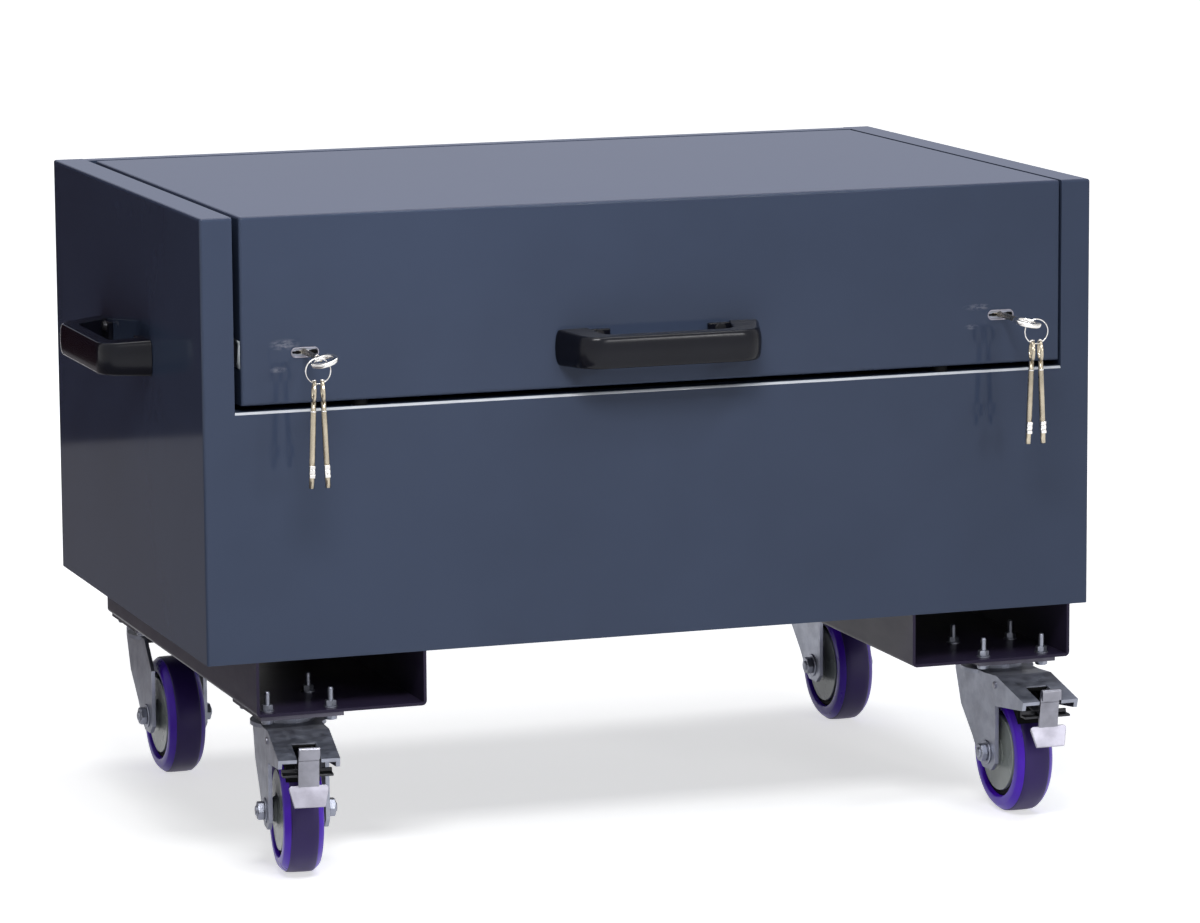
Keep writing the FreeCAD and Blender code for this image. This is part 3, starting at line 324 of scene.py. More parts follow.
# The castor top plates wear the darker zinc copy: painted shade.
wear(nodes["castor_top_plates"], SHADED_ZINC)
wear(nodes["front_panel"], FRONT)


# Shapes

MM = 0.001


def mm(value):
    """Millimetres to metres."""
    return value * MM


def link(name, data):
    """A new object for some data, in the scene."""
    thing = bpy.data.objects.new(name, data)
    bpy.context.scene.collection.objects.link(thing)
    return thing


def mesh_object(name, mesh):
    """Turn a bmesh into an object in the scene."""
    data = bpy.data.meshes.new(name)
    mesh.to_mesh(data)
    mesh.free()
    return link(name, data)


def piece(name, mesh, body, slot, replaces=(), place=None, smooth=True, material=None):
    """Turn a bmesh into a named piece that rides on a body and wears a slot's material."""
    bmesh.ops.recalc_face_normals(mesh, faces=mesh.faces)
    if place is not None:
        bmesh.ops.transform(mesh, matrix=place, verts=mesh.verts)
    thing = mesh_object(name, mesh)
    for face in thing.data.polygons:
        face.use_smooth = smooth
    wear(thing, material or SLOTS[slot])
    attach(thing, body)
    if replaces:
        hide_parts(*replaces)
    return thing


def bevel(thing, width, segments=3, angle=35.0):
    """Round the edges of a thing that are sharper than an angle in degrees."""
    modifier = thing.modifiers.new("edge", "BEVEL")
    modifier.width = width
    modifier.segments = segments
    modifier.limit_method = "ANGLE"
    modifier.angle_limit = math.radians(angle)
    modifier.harden_normals = True


def loft(mesh, rows, ring=False):
    """Skin closed loops of points; ring joins the last to the first, or else both are capped."""
    grid = [[mesh.verts.new(point) for point in row] for row in rows]
    count = len(grid[0])
    pairs = list(zip(grid, grid[1:])) + ([(grid[-1], grid[0])] if ring else [])
    for one, two in pairs:
        for index in range(count):
            after = (index + 1) % count
            mesh.faces.new((one[index], one[after], two[after], two[index]))
    if not ring:
        mesh.faces.new(grid[0])
        mesh.faces.new(grid[-1])


def around_x(x, radius, angle):
    """The point at a radius and an angle round the X axis."""
    return Vector((x, radius * math.cos(angle), radius * math.sin(angle)))


def lathe(mesh, profile, steps=64, closed=False, place=Matrix()):
    """Turn (along X, radius) points round the X axis; closed joins the profile's ends."""
    grid = []
    for step in range(steps):
        angle = 2 * math.pi * step / steps
        grid.append([mesh.verts.new(place @ around_x(x, radius, angle))
                     for x, radius in profile])
    spans = len(profile) if closed else len(profile) - 1
    for step in range(steps):
        one, two = grid[step], grid[(step + 1) % steps]
        for index in range(spans):
            after = (index + 1) % len(profile)
            mesh.faces.new((one[index], one[after], two[after], two[index]))
    if not closed:
        mesh.faces.new([row[0] for row in grid])
        mesh.faces.new([row[-1] for row in grid])


def prism(mesh, outline, start, end):
    """An outline in YZ, drawn out along X."""
    loft(mesh, [[Vector((x, y, z)) for y, z in outline] for x in (start, end)])


def hexagon(mesh, across_flats, start, end, place):
    """A hexagonal bar along X with its corners turned off, as a nut's are."""
    corner = across_flats / math.sqrt(3)
    flat = corner - across_flats / 2
    steps = 24
    rows = []
    for x, shrink in ((start, flat), (start + flat * 0.6, 0), (end - flat * 0.6, 0), (end, flat)):
        row = []
        for step in range(steps):
            angle = 2 * math.pi * step / steps
            inside = (angle % (math.pi / 3)) - math.pi / 6
            edge = across_flats / 2 / math.cos(inside)
            row.append(place @ around_x(x, min(edge, corner - shrink), angle))
        rows.append(row)
    loft(mesh, rows)


def rounded(corners, radii, steps=8):
    """A path of (u, v) corners with its inner corners rounded."""
    path = [Vector(corners[0])]
    for before, corner, after, radius in zip(corners, corners[1:], corners[2:], radii):
        corner = Vector(corner)
        back = (Vector(before) - corner).normalized()
        ahead = (Vector(after) - corner).normalized()
        half = math.acos(max(-1, min(1, back.dot(ahead)))) / 2
        reach = radius / math.tan(half)
        centre = corner + (back + ahead).normalized() * (radius / math.sin(half))
        first = corner + back * reach - centre
        last = corner + ahead * reach - centre
        turn = first.angle_signed(last)
        for step in range(steps + 1):
            spin = Matrix.Rotation(-turn * step / steps, 2)
            path.append(centre + spin @ first)
    path.append(Vector(corners[-1]))
    return path


def thick(path, thickness):
    """The outline of a strip of even thickness whose outer side follows a path."""
    inner = []
    for index, point in enumerate(path):
        before = path[max(index - 1, 0)]
        after = path[min(index + 1, len(path) - 1)]
        along = (after - before).normalized()
        inner.append(point + Vector((-along.y, along.x)) * thickness)
    return [tuple(point) for point in path] + [tuple(point) for point in inner[::-1]]


def folded_sheets():
    """The folded sheet-metal nodes stay, with their cut edges softened."""
    for name in ("front_panel", "back_panel", "left_side_panel", "right_side_panel",
                 "lid_shell", "left_fork_channel", "right_fork_channel"):
        bevel(nodes[name], mm(0.5), 2)
    for end, side in CORNERS:
        bevel(nodes["%s_%s_fork" % (end, side)], mm(0.7))
    bevel(nodes["castor_top_plates"], mm(1.0))


# Handles

def handle(node, turn):
    """A moulded bow handle: flat inside, crowned outside, top sloping to the front."""
    corner_low, corner_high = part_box(node)
    size = corner_high - corner_low
    length, reach = max(size.x, size.y), min(size.x, size.y)
    tall = size.z
    bar, leg, foot, slope = mm(17), mm(34), mm(23), mm(17)
    half = length / 2
    outer = rounded([(-half, 0), (-half + slope, -reach), (half - slope, -reach), (half, 0)],
                    (mm(24), mm(24)), 12)
    inner = rounded([(-half + leg, 0), (-half + leg + mm(7), -reach + bar),
                     (half - leg - mm(7), -reach + bar), (half - leg, 0)],
                    (mm(9), mm(9)), 12)
    crown, steps = mm(5) / bar, 13
    rows = []
    for out, inside in zip(resample(outer, 60), resample(inner, 60)):
        front = -out.y / reach
        top = tall / 2 - mm(3.5) * front
        bottom = -tall / 2 + mm(1) * front
        section = [(0, bottom), (0, top), (1 - crown, top - mm(0.4))]
        for step in range(1, steps):
            angle = math.pi * step / steps
            bulge = math.sin(angle) ** 0.42
            section.append((1 - crown * (1 - bulge),
                            top + (bottom - top) * (1 - math.cos(angle)) / 2))
        section.append((1 - mm(6) / bar, bottom))
        rows.append([(inside + (out - inside) * share).to_3d() + Vector((0, 0, height))
                     for share, height in section])
    mesh = bmesh.new()
    loft(mesh, rows)
    for side in (-1, 1):
        start, end = sorted((side * (half - leg + mm(1)), side * (half - leg - foot)))
        foot_box(mesh, start, end, -mm(5), tall - mm(3))
    place = handle_place(node, turn)
    body = "lid" if node == "front_handle" else "box"
    moulding = piece(node + "_moulding", mesh, body, "handle_plastic", (node,), place)
    bevel(moulding, mm(1.1), angle=40)
    mesh = bmesh.new()
    for side in (-1, 1):
        for step in (-1, 1):
            spot = Vector((side * (half - leg - foot / 2), -mm(5), step * mm(12)))
            screw(mesh, Matrix.Translation(spot) @ Matrix.Rotation(-math.pi / 2, 4, "Z"))
    piece(node + "_screws", mesh, body, "screw_steel", (), place, False)


def handle_place(node, turn):
    """The handle's own frame: origin at the middle of its back, reaching out along -Y."""
    corner_low, corner_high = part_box(node)
    spot = (corner_low + corner_high) / 2
    reach = min(corner_high.x - corner_low.x, corner_high.y - corner_low.y)
    rotation = Matrix.Rotation(turn, 4, "Z")
    return Matrix.Translation(spot) @ rotation @ Matrix.Translation((0, reach / 2, 0))


def resample(path, count):
    """Points spread evenly along a path."""
    spans = [(b - a).length for a, b in zip(path, path[1:])]
    total = sum(spans)
    points = []
    for index in range(count + 1):
        left = total * index / count
        for a, b, span in zip(path, path[1:], spans):
            if left <= span + 1e-9:
                points.append(a + (b - a) * (left / span if span else 0))
                break
            left -= span
    return points


def foot_box(mesh, start, end, depth, tall):
    """The flat foot beside a leg, that the screws go through."""
    rows = []
    for y in (0, depth):
        rows.append([Vector((x, y, z)) for x, z in
                     ((start, -tall / 2), (end, -tall / 2), (end, tall / 2), (start, tall / 2))])
    loft(mesh, rows)


def screw(mesh, place):
    """A pan head along the local +X."""
    dome = [(0, mm(4.7)), (mm(0.8), mm(4.6)), (mm(2), mm(3.6)), (mm(2.6), mm(1.8)),
            (mm(2.7), mm(0.01))]
    lathe(mesh, dome, 24, place=place)


# Castors

def castor_place(name):
    """The castor's own frame: swivel axis up from the floor, X along the axle."""
    across = Vector(joints[name + "_wheel_spin"]["axis"]).normalized()
    back = Vector((0, 0, 1)).cross(across)
    x, y, _ = joints[name + "_swivel_turn"]["pos_m"]
    turn = Matrix((across, back, (0, 0, 1))).transposed().to_4x4()
    return Matrix.Translation((x, y, 0)) @ turn


def hub_place(name):
    """The castor's own frame, moved to the middle of the axle."""
    own = castor_place(name)
    hub = own.inverted() @ Vector(joints[name + "_wheel_spin"]["pos_m"])
    return own @ Matrix.Translation(hub)


def mirrored(half):
    """A turned profile from half of it: the other half is its mirror image in X."""
    return half + [(-x, radius) for x, radius in half[::-1]]


def wheel(name):
    """Wheel disc, moulded tyre with a darker tread, and dark rings beside the rim."""
    radius = (high(name + "_tyre").z - low(name + "_tyre").z) / 2
    rim = (high(name + "_wheel_core").z - low(name + "_wheel_core").z) / 2
    place = hub_place(name)
    body = name + "_wheel"

    mesh = bmesh.new()
    half = [(mm(23.7), mm(6.1)), (mm(23.7), mm(11.4)), (mm(22.9), mm(12.4)), (mm(20.6), mm(14)),
            (mm(20.1), mm(17)), (mm(19.6), mm(17.6)), (mm(18.4), rim - mm(5)),
            (mm(18.6), rim - mm(3.4)), (mm(18.2), rim - mm(2.6)), (mm(15), rim - mm(2.2)),
            (mm(15), rim)]
    lathe(mesh, mirrored(half), 96, True)
    core = piece(name + "_wheel_disc", mesh, body, "wheel_grey", (name + "_wheel_core",), place)
    bevel(core, mm(0.4), 2, 30)

    mesh = bmesh.new()
    half = [(mm(14.6), rim), (mm(14.6), rim + mm(3)), (mm(17.5), rim + mm(3.6)),
            (mm(19.6), rim + mm(4.4)), (mm(20), rim + mm(6)), (mm(20), radius - mm(9)),
            (mm(19.4), radius - mm(6.5)), (mm(16.4), radius - mm(3.2)),
            (mm(13.6), radius - mm(1.2)), (mm(12.5), radius - mm(2)), (mm(5), radius - mm(2))]
    lathe(mesh, mirrored(half), 120, True)
    tyre = piece(name + "_moulded_tyre", mesh, body, "tyre_purple", (name + "_tyre",), place)
    bevel(tyre, mm(0.9), angle=18)
    mesh = bmesh.new()
    half = [(mm(13.4), radius - mm(2.2)), (mm(13.6), radius - mm(1.1)),
            (mm(12.4), radius - mm(0.4)), (mm(8), radius - mm(0.05)), (mm(3), radius)]
    lathe(mesh, mirrored(half), 120, True)
    piece(name + "_tyre_tread", mesh, body, "tyre_purple", (), place, material=TREAD)

    mesh = bmesh.new()
    seam = [(mm(14.7), rim - mm(2.4)), (mm(15.6), rim - mm(2.2)), (mm(15.6), rim + mm(3.3)),
            (mm(14.7), rim + mm(3.4))]
    lathe(mesh, seam, 96, True)
    lathe(mesh, [(-x, r) for x, r in seam], 96, True)
    piece(name + "_rim_dark_rings", mesh, body, "black_rubber", (), place)


def axle(name):
    """Axle bolt: washer, faceted head or nut and the bare end, on both legs."""
    place = hub_place(name)
    half_fork = mm(30.5)
    mesh = bmesh.new()
    for side in (-1, 1):
        turn = Matrix.Scale(side, 4, (1, 0, 0))
        washer = [(half_fork, mm(6)), (half_fork, mm(12.4)), (half_fork + mm(1), mm(12.6)),
                  (half_fork + mm(1.6), mm(12)), (half_fork + mm(1.6), mm(6))]
        lathe(mesh, washer, 40, True, turn)
        hexagon(mesh, mm(17), half_fork + mm(1.6), half_fork + mm(8.4), turn)
        end = [(half_fork + mm(8), mm(5.4)), (half_fork + mm(9.2), mm(5.4)),
               (half_fork + mm(10.2), mm(4.2)), (half_fork + mm(10.4), mm(0.01))]
        lathe(mesh, end, 32, place=turn)
    lathe(mesh, [(-half_fork, mm(5.9)), (half_fork, mm(5.9))], 32)
    thing = piece(name + "_axle_bolt", mesh, name + "_swivel", "zinc_plate", (name + "_axle",),
                  place)
    bevel(thing, mm(0.4), 2, 30)


def side_view(top, *points):
    """Points given in millimetres in front of the swivel axis and below a height."""
    return [(-mm(ahead), top - mm(down)) for ahead, down in points]


def brake(name):
    """Foot brake: dark lever, bent arm with a strap and its pin, foot plate and crossbar."""
    place = castor_place(name)
    body = name + "_brake"
    top = high(name + "_brake_pedal").z
    wide, steel = mm(10.2), mm(2.6)
    mesh = bmesh.new()
    lever = rounded(side_view(top, (64, 11), (94, 21), (121, 26.5), (131.6, 26)),
                    (mm(14), mm(9)))
    prism(mesh, thick(lever, steel), -mm(10), mm(10))
    bevel(piece(name + "_brake_lever", mesh, body, "screw_steel", (), place), mm(0.6), 2)
    mesh = bmesh.new()
    arm = rounded(side_view(top, (128, 26), (131.8, 25), (134.4, 6), (137.6, 0), (142, 1.6),
                            (141.6, 12)), (mm(2), mm(9), mm(3), mm(3)))
    prism(mesh, thick(arm, steel), -wide, wide)
    strap = rounded(side_view(top, (136.4, 15), (134.2, 24), (133, 42)), (mm(12),))
    prism(mesh, thick(strap, mm(3)), -wide, wide)
    lathe(mesh, [(-mm(32.4), mm(3)), (-mm(32), mm(3.6)), (mm(32), mm(3.6)), (mm(32.4), mm(3))],
          24, place=Matrix.Translation((0, -mm(65.6), top - mm(8))))
    # The arm wears the darker copy of the zinc: painted shade.
    bevel(piece(name + "_brake_arm", mesh, body, "zinc_plate", (name + "_brake_pedal",), place,
                material=SHADED_ARM_ZINC), mm(0.6))
    pedal(name, place, top)

    # A black plate in front of the slot's rear wall: painted shadow in the slot behind the tab.
    mesh = bmesh.new()
    prism(mesh, side_view(top, (100.2, 9.6), (100.9, 9.6), (100.9, 6), (100.2, 6)),
          -mm(11.7), mm(11.7))
    piece(name + "_slot_shield", mesh, name + "_swivel", "black_rubber", (), place)

    mesh = bmesh.new()
    across = side_view(top, (131, 32), (131.4, 29.6), (121, 29.2), (120.4, 25.6), (118, 25.6),
                       (118, 32))
    prism(mesh, across, -mm(25), mm(25))
    bevel(piece(name + "_brake_crossbar", mesh, body, "screw_steel", (), place), mm(0.6), 2)


def pedal(name, place, top):
    """The foot plate: wide round shoulders, narrowing to a turned-out lower edge."""
    path = rounded(side_view(top, (132.4, 39.6), (134.4, 45), (139.4, 60.4)), (mm(9),), 6)
    path = resample(path, 24)
    front = thick(path, mm(3))
    corner, length = mm(4), mm(21)
    shoulder, narrowing = 20.5, 5.2
    mesh = bmesh.new()
    rows = []
    for index, point in enumerate(path):
        share = index / (len(path) - 1)
        near = min(corner, share * length)
        half = (mm(shoulder - narrowing * share) - corner
                + math.sqrt(corner ** 2 - (corner - near) ** 2))
        back = front[-1 - index]
        rows.append([Vector((-half, *point)), Vector((half, *point)),
                     Vector((half, *back)), Vector((-half, *back))])
    loft(mesh, rows)
    # The foot plate wears the lighter copy of the zinc: painted light.
    bevel(piece(name + "_brake_tread", mesh, name + "_brake", "zinc_plate", (), place,
                material=LIT_ZINC), mm(0.8), angle=40)


# Half the spacing of a top plate's bolts, in X and in Y
BOLT_SPACING = (mm(32.5), mm(40))


def castor_fasteners():
    """Bolts with turned-off corners and threads, and their nuts and washers."""
    bottom = low("castor_bolts").z
    top = high("castor_bolts").z
    seat = low("castor_nuts").z
    upward = Matrix.Rotation(-math.pi / 2, 4, "Y")
    bolts = bmesh.new()
    fittings = bmesh.new()
    for end, side in CORNERS:
        x, y, _ = joints["%s_%s_swivel_turn" % (end, side)]["pos_m"]
        for x_step in (-BOLT_SPACING[0], BOLT_SPACING[0]):
            for y_step in (-BOLT_SPACING[1], BOLT_SPACING[1]):
                place = Matrix.Translation((x + x_step, y + y_step, 0)) @ upward
                hexagon(bolts, mm(11), bottom, bottom + mm(5.3), place)
                lathe(bolts, thread(bottom + mm(5), top - mm(2)), 16, place=place)
                washer = [(seat + mm(0.1), mm(3.2)), (seat + mm(0.1), mm(7)),
                          (seat + mm(1.3), mm(7)), (seat + mm(1.5), mm(3.2))]
                lathe(fittings, washer, 28, True, place)
                hexagon(fittings, mm(10), seat + mm(1.5), seat + mm(7), place)
    piece("castor_bolts_threaded", bolts, "box", "zinc_plate", ("castor_bolts",))
    piece("castor_nuts_faceted", fittings, "box", "zinc_plate", ("castor_nuts",), None, False)


def thread(start, end):
    """The outline of a threaded shank with a turned-off tip."""
    pitch, crest, root = mm(1.1), mm(3), mm(2.5)
    points = [(start, crest)]
    turns = int((end - start) / pitch) - 1
    for index in range(turns):
        points.append((start + pitch * (index + 0.5), root))
        points.append((start + pitch * (index + 1), crest))
    return points + [(end, root * 0.86), (end, mm(0.01))]


def castors():
    for end, side in CORNERS:
        name = end + "_" + side
        wheel(name)
        axle(name)
        if end == "front":
            brake(name)
    castor_fasteners()


# Keys and rings

# How far each ring and its spare keys hang from the ring's solid, and the spare keys' turn
HANG = {"left": mm(4), "right": mm(-0.5)}
EDGE_ON = {"left": -12, "right": -14}

# Bow hole radius, bow radius, half the bow's thickness, tip and collar, in millimetres
MAIN_KEY = (9, 14.6, 2.3, 90.5, 24.2)
SPARE_KEY = (8.7, 11, 1.7, 95, 19.4)

# Bows in the locks sit askew: rolled about the shank, and drooping to the outside.
BOW_ROLL = {"left": -16, "right": 9}
BOW_DROOP = -8


def key_place(node):
    """The bow's centre, with the local X along the shank and the bow flat in local XY."""
    if "spare" not in node:
        spot = Vector(joints[node + "_turn"]["pos_m"])
        return Matrix.Translation(spot) @ Matrix.Rotation(math.pi / 2, 4, "Z")
    lean = -1 if node.endswith("a") else 1
    side = node.split("_")[0]
    spot = Vector((middle(side + "_key_ring").x + HANG[side] + lean * mm(4.5),
                   middle(node).y, high(node).z - mm(13.1)))
    down = (Matrix.Rotation(math.radians(-2.3 * lean), 4, "Y")
            @ Matrix.Rotation(math.radians(EDGE_ON[side]), 4, "Z")
            @ Matrix.Rotation(math.pi / 2, 4, "Y"))
    return Matrix.Translation(spot) @ down


def key(node):
    """A double-bitted key: forged bow, collar, round shank and toothed bits."""
    place = key_place(node)
    spare = "spare" in node
    body = node + "_body" if spare else node
    hole, edge, thick_bow, tip, collar = [mm(size) for size in (SPARE_KEY if spare else MAIN_KEY)]
    mesh = bmesh.new()
    section = []
    centre, wide = (hole + edge) / 2, (edge - hole) / 2
    steps, squareness = 16, 0.6
    for step in range(steps):
        angle = 2 * math.pi * step / steps
        u, v = math.cos(angle), math.sin(angle)
        section.append((math.copysign(abs(v) ** squareness, v) * thick_bow,
                        centre + math.copysign(abs(u) ** squareness, u) * wide))
    tilt = Matrix()
    if not spare:
        tilt = (Matrix.Rotation(math.radians(BOW_ROLL[node.split("_")[0]]), 4, "X")
                @ Matrix.Rotation(math.radians(BOW_DROOP), 4, "Y"))
    lathe(mesh, section, 56, True, tilt @ Matrix.Rotation(math.pi / 2, 4, "Y"))
    piece(node + "_bow", mesh, body, "key_nickel", (), place,
          material=NICKEL if spare else BRIGHT)
    mesh = bmesh.new()
    neck = [(edge - mm(0.9), mm(2.5)), (collar, mm(2.5)), (collar + mm(0.8), mm(2.7)),
            (mm(40), mm(2.8)), (mm(84), mm(2.8)), (mm(86.4), mm(2.6)),
            (tip - mm(0.5), mm(2.5)), (tip, mm(0.01))]
    lathe(mesh, neck, 24)
    piece(node + "_shank", mesh, body, "key_nickel", (node,), place)
    mesh = bmesh.new()
    lathe(mesh, [(collar - mm(0.7), mm(2.4)), (collar - mm(0.6), mm(3.1)),
                 (collar + mm(0.6), mm(3.1)), (collar + mm(0.7), mm(2.4))], 24, True)
    ward = 8.3
    for side in (-1, 1):
        outline = [(71.4, 0), (71.4, ward), (74, ward), (74, ward - 2.4), (75.6, ward - 2.4),
                   (75.6, ward - 0.6), (78.6, ward - 0.6), (78.6, ward - 3.4),
                   (80.4, ward - 3.4), (80.4, ward), (83.4, ward), (83.4, 0)]
        rows = [[Vector((mm(x), side * mm(y), z)) for x, y in outline]
                for z in (-mm(2.5), mm(2.5))]
        loft(mesh, rows)
    if spare:
        lathe(mesh, [(-mm(11.6), mm(0.01)), (-mm(11.6), mm(1.6)), (-mm(11.1), mm(2.4)),
                     (-mm(8.9), mm(2.4)), (-mm(8.4), mm(1.6)), (-mm(8.4), mm(0.01))], 20)
    bits = piece(node + "_bits", mesh, body, "key_nickel", (), place, material=BRIGHT)
    bevel(bits, mm(0.25), 2, 30)


def split_ring(node):
    """Two close coils of round wire."""
    centre = middle(node) + Vector((HANG[node.split("_")[0]], 0, 0))
    radius = (high(node).x - low(node).x) / 2 - mm(0.8)
    data = bpy.data.curves.new(node + "_coil", "CURVE")
    data.dimensions = "3D"
    data.bevel_depth = mm(0.62)
    data.bevel_resolution = 4
    turns, steps, start, pitch = 1.92, 96, 0.9, mm(1.1)
    spline = data.splines.new("POLY")
    spline.points.add(steps)
    for index, point in enumerate(spline.points):
        angle = 2 * math.pi * turns * index / steps + start
        point.co = (centre.x + radius * math.sin(angle),
                    centre.y + pitch * (index / steps - 0.5),
                    centre.z + radius * math.cos(angle), 1)
    thing = link(node + "_coil", data)
    data.materials.append(BRIGHT)
    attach(thing, node.replace("_key_ring", "_ring"))
    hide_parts(node)


def oval(half_straight, radius):
    """Points round a level slot with round ends."""
    points = []
    for centre, start in ((half_straight, -90), (-half_straight, 90)):
        for step in range(13):
            angle = math.radians(start + 15 * step)
            points.append(Vector((centre + radius * math.cos(angle), radius * math.sin(angle))))
    return points


def keyholes():
    """Worn bright rims in the two key slots, and black discs in them beside the keys: painted shadow."""
    for side in SIDES:
        x, _, z = joints[side + "_key_turn"]["pos_m"]
        outer, inner = oval(mm(9.2), mm(5)), oval(mm(9.2), mm(4))
        mesh = bmesh.new()
        rows = []
        for out, inside in zip(outer, inner):
            rows.append([Vector((x + point.x, FRONT_Y + mm(y), z + point.y))
                         for point, y in ((out, -0.1), (out, 1.9), (inside, 1.9),
                                          (inside, 0.4), (inside.lerp(out, 0.4), -0.1))])
        loft(mesh, rows, ring=True)
        # The rims wear the lighter copy of the zinc.
        piece(side + "_keyhole_rim", mesh, "lid", "key_nickel", material=LIT_ZINC)
        # Black discs inside each slot: painted shadow in its depths.
        mesh = bmesh.new()
        for centre, wide, tall in ((-mm(8), mm(3.4), mm(1.1)), (mm(9.4), mm(1.2), mm(2.4))):
            disc = oval(wide, tall)
            loft(mesh, [[Vector((x + centre + point.x, FRONT_Y + mm(y), z + point.y))
                         for point in disc] for y in (1.55, 1.95)])
        piece(side + "_keyhole_throats", mesh, "lid", "black_rubber")


def forend_face():
    """The end of the left lock, open round its bolt, coloured pale grey: painted light, as it sits in the shade of
    the gap.
    """
    edge = low("left_lock_case").x
    bolt_low, bolt_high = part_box("left_lock_bolt")
    z = middle("left_lock_case").z
    tall, room = mm(13.6), mm(0.4)
    near, far, notch = FRONT_Y + mm(3), FRONT_Y + mm(17), bolt_low.y - room
    under, over = bolt_low.z - room, bolt_high.z + room
    outline = [(near, z - tall), (far, z - tall), (far, under), (notch, under),
               (notch, over), (far, over), (far, z + tall), (near, z + tall)]
    mesh = bmesh.new()
    prism(mesh, outline, edge - mm(0.4), edge - mm(0.02))
    piece("left_forend_face", mesh, "lid", "zinc_plate", material=FOREND_LIGHT_PAINT)


def keys_and_rings():
    for side in SIDES:
        key(side + "_key")
        key(side + "_spare_key_a")
        key(side + "_spare_key_b")
        split_ring(side + "_key_ring")
    keyholes()
    forend_face()


folded_sheets()
handle("front_handle", 0)
handle("left_side_handle", -math.pi / 2)
handle("right_side_handle", math.pi / 2)
castors()
keys_and_rings()


# Camera, light and floor

YAW, PITCH, ROLL = math.radians(19.15), math.radians(9.12), math.radians(-0.40)
LENS_MM, SENSOR_MM = 162.4, 36

# From the box's lower front left corner to the camera
CAMERA_OFFSET = Vector((-1.3404, -5.0337, 1.0345))


def set_camera():
    forward = Vector((math.sin(YAW) * math.cos(PITCH), math.cos(YAW) * math.cos(PITCH),
                      -math.sin(PITCH)))
    level = Vector((math.cos(YAW), -math.sin(YAW), 0))
    up = level.cross(forward)
    right = math.cos(ROLL) * level + math.sin(ROLL) * up
    top = -math.sin(ROLL) * level + math.cos(ROLL) * up
    data = bpy.data.cameras.new("camera")
    data.sensor_width = SENSOR_MM
    data.lens = LENS_MM
    data.clip_end = 100
    camera = link("camera", data)
    spot = Vector((-HALF, FRONT_Y, BASE_Z)) + CAMERA_OFFSET
    camera.matrix_world = (Matrix.Translation(spot)
                           @ Matrix((right, top, -forward)).transposed().to_4x4())
    bpy.context.scene.camera = camera


def seen_directly(tree):
    """1 for camera, glossy and transmission rays, 0 for the others."""
    rays = add(tree, "ShaderNodeLightPath").outputs
    either = maths(tree, "MAXIMUM", rays["Is Camera Ray"], rays["Is Glossy Ray"])
    return maths(tree, "MAXIMUM", either, rays["Is Transmission Ray"])


def set_world():
    """A dim bluish sky for the light, and plain white where the sky is seen."""
    world = bpy.data.worlds.new("studio")
    bpy.context.scene.world = world
    world.use_nodes = True
    tree = world.node_tree
    background = tree.nodes["Background"]
    background.inputs["Color"].default_value = (0.86, 0.9, 1.0, 1)
    background.inputs["Strength"].default_value = 0.13
    seen = add(tree, "ShaderNodeBackground", Color=(1, 1, 1, 1), Strength=1.0)
    mix = add(tree, "ShaderNodeMixShader")
    tree.links.new(seen_directly(tree), mix.inputs["Fac"])
    tree.links.new(background.outputs[0], mix.inputs[1])
    tree.links.new(seen.outputs[0], mix.inputs[2])
    tree.links.new(mix.outputs[0], tree.nodes["World Output"].inputs["Surface"])


def set_floor():
    """A pale floor that takes the shadow, and glows to white away from the box."""
    mesh = bmesh.new()
    bmesh.ops.create_grid(mesh, x_segments=2, y_segments=2, size=40)
    floor = mesh_object("floor", mesh)
    floor.location.z = -0.0002
    material, tree, shader = new_material("floor")
    cloud = noise(tree, coordinates(tree), 1.5, 2.0)
    tree.links.new(ramp(tree, cloud, [(0.3, (0.80, 0.80, 0.80)), (0.7, (0.84, 0.84, 0.84))]),
                   shader.inputs["Base Color"])
    shader.inputs["Roughness"].default_value = 0.7
    shader.inputs["Specular IOR Level"].default_value = 0.1
    glow = add(tree, "ShaderNodeEmission", Color=(1, 1, 1, 1))
    reach, near_glow, far_glow = 2.6, 0.62, 1.0
    strength = map_range(tree, ball(tree, (reach, reach, reach)), 0.0, 0.65, far_glow, near_glow)
    tree.links.new(strength, glow.inputs["Strength"])
    total = add(tree, "ShaderNodeAddShader")
    mix = add(tree, "ShaderNodeMixShader")
    tree.links.new(shader.outputs[0], total.inputs[0])
    tree.links.new(glow.outputs[0], total.inputs[1])
    tree.links.new(seen_directly(tree), mix.inputs["Fac"])
    tree.links.new(shader.outputs[0], mix.inputs[1])
    tree.links.new(total.outputs[0], mix.inputs[2])
    tree.links.new(mix.outputs[0], tree.nodes["Material Output"].inputs["Surface"])
    wear(floor, material)


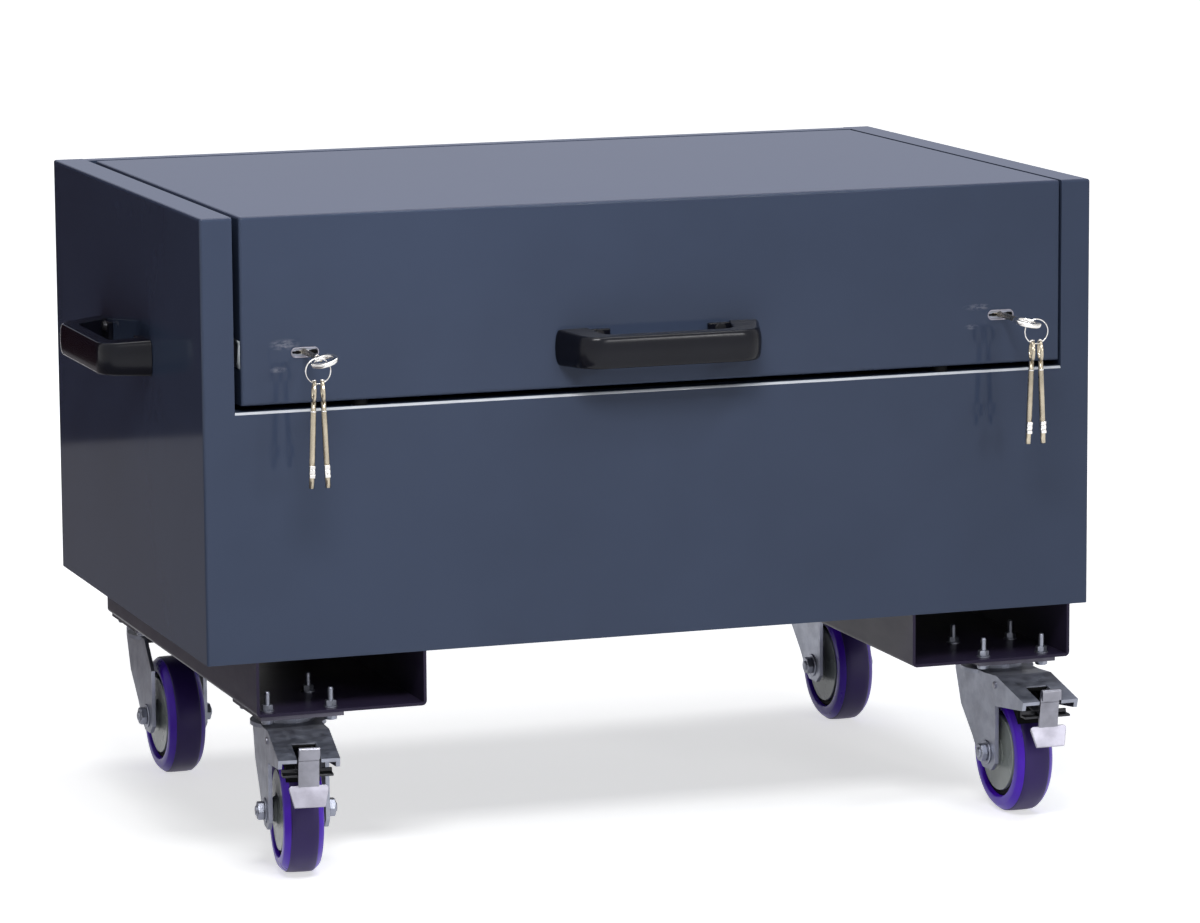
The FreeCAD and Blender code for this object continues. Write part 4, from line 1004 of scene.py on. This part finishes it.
def add_card(name, low_corner, high_corner, shade):
    """A wall or floor of the hall round the box, that only the gloss of the paint sees."""
    mesh = bmesh.new()
    (x0, y0, z0), (x1, y1, z1) = low_corner, high_corner
    loft(mesh, [[Vector((x, y0, z0)), Vector((x, y0, z1)), Vector((x, y1, z1)),
                 Vector((x, y1, z0))] for x in (x0, x1)])
    card = mesh_object(name, mesh)
    card.visible_camera = False
    card.visible_diffuse = False
    card.visible_shadow = False
    material, tree, shader = new_material(name)
    shader.inputs["Base Color"].default_value = (0, 0, 0, 1)
    shader.inputs["Specular IOR Level"].default_value = 0.0
    shader.inputs["Emission Color"].default_value = shade + (1,)
    shader.inputs["Emission Strength"].default_value = 1.0
    wear(card, material)


def add_lamp(name, spot, target, size, power, spread=180, tint=(1, 1, 1)):
    data = bpy.data.lights.new(name, "AREA")
    data.shape = "RECTANGLE"
    data.size, data.size_y = size
    data.energy = power
    data.color = tint
    data.spread = math.radians(spread)
    lamp = link(name, data)
    lamp.location = spot
    lamp.rotation_euler = (Vector(target) - Vector(spot)).to_track_quat("-Z", "Y").to_euler()


set_camera()
set_world()
set_floor()
add_card("hall_left", (-3.0, 2.5, 0), (-0.5, 2.54, 3), (0.026, 0.011, 0.014))
add_card("hall_floor", (-3.0, -1.2, 0), (-0.5, 2.5, 0.002), (0.24, 0.225, 0.24))
add_card("hall_back", (-0.45, 2.2, 0.5), (2.8, 2.24, 3), (0.40, 0.43, 0.54))
add_lamp("key_lamp", (1.5, -4.1, 1.7), (0, 0, 0.4), (0.6, 0.6), power=21)
add_lamp("high_lamp", (-0.6, -1.7, 1.95), (-0.5, FRONT_Y, 0.5), (0.9, 0.5), power=11,
         spread=110)
add_lamp("strip_lamp", (0.77, -1.43, 2.45), (0, FRONT_Y, 0.5), (1.0, 0.14), power=12,
         tint=(0.86, 0.93, 1.0))
add_lamp("top_lamp", (0.2, 0.6, 3.6), (0, 0, 0.4), (2.6, 2.2), power=60)

bpy.context.scene.view_settings.view_transform = "Standard"
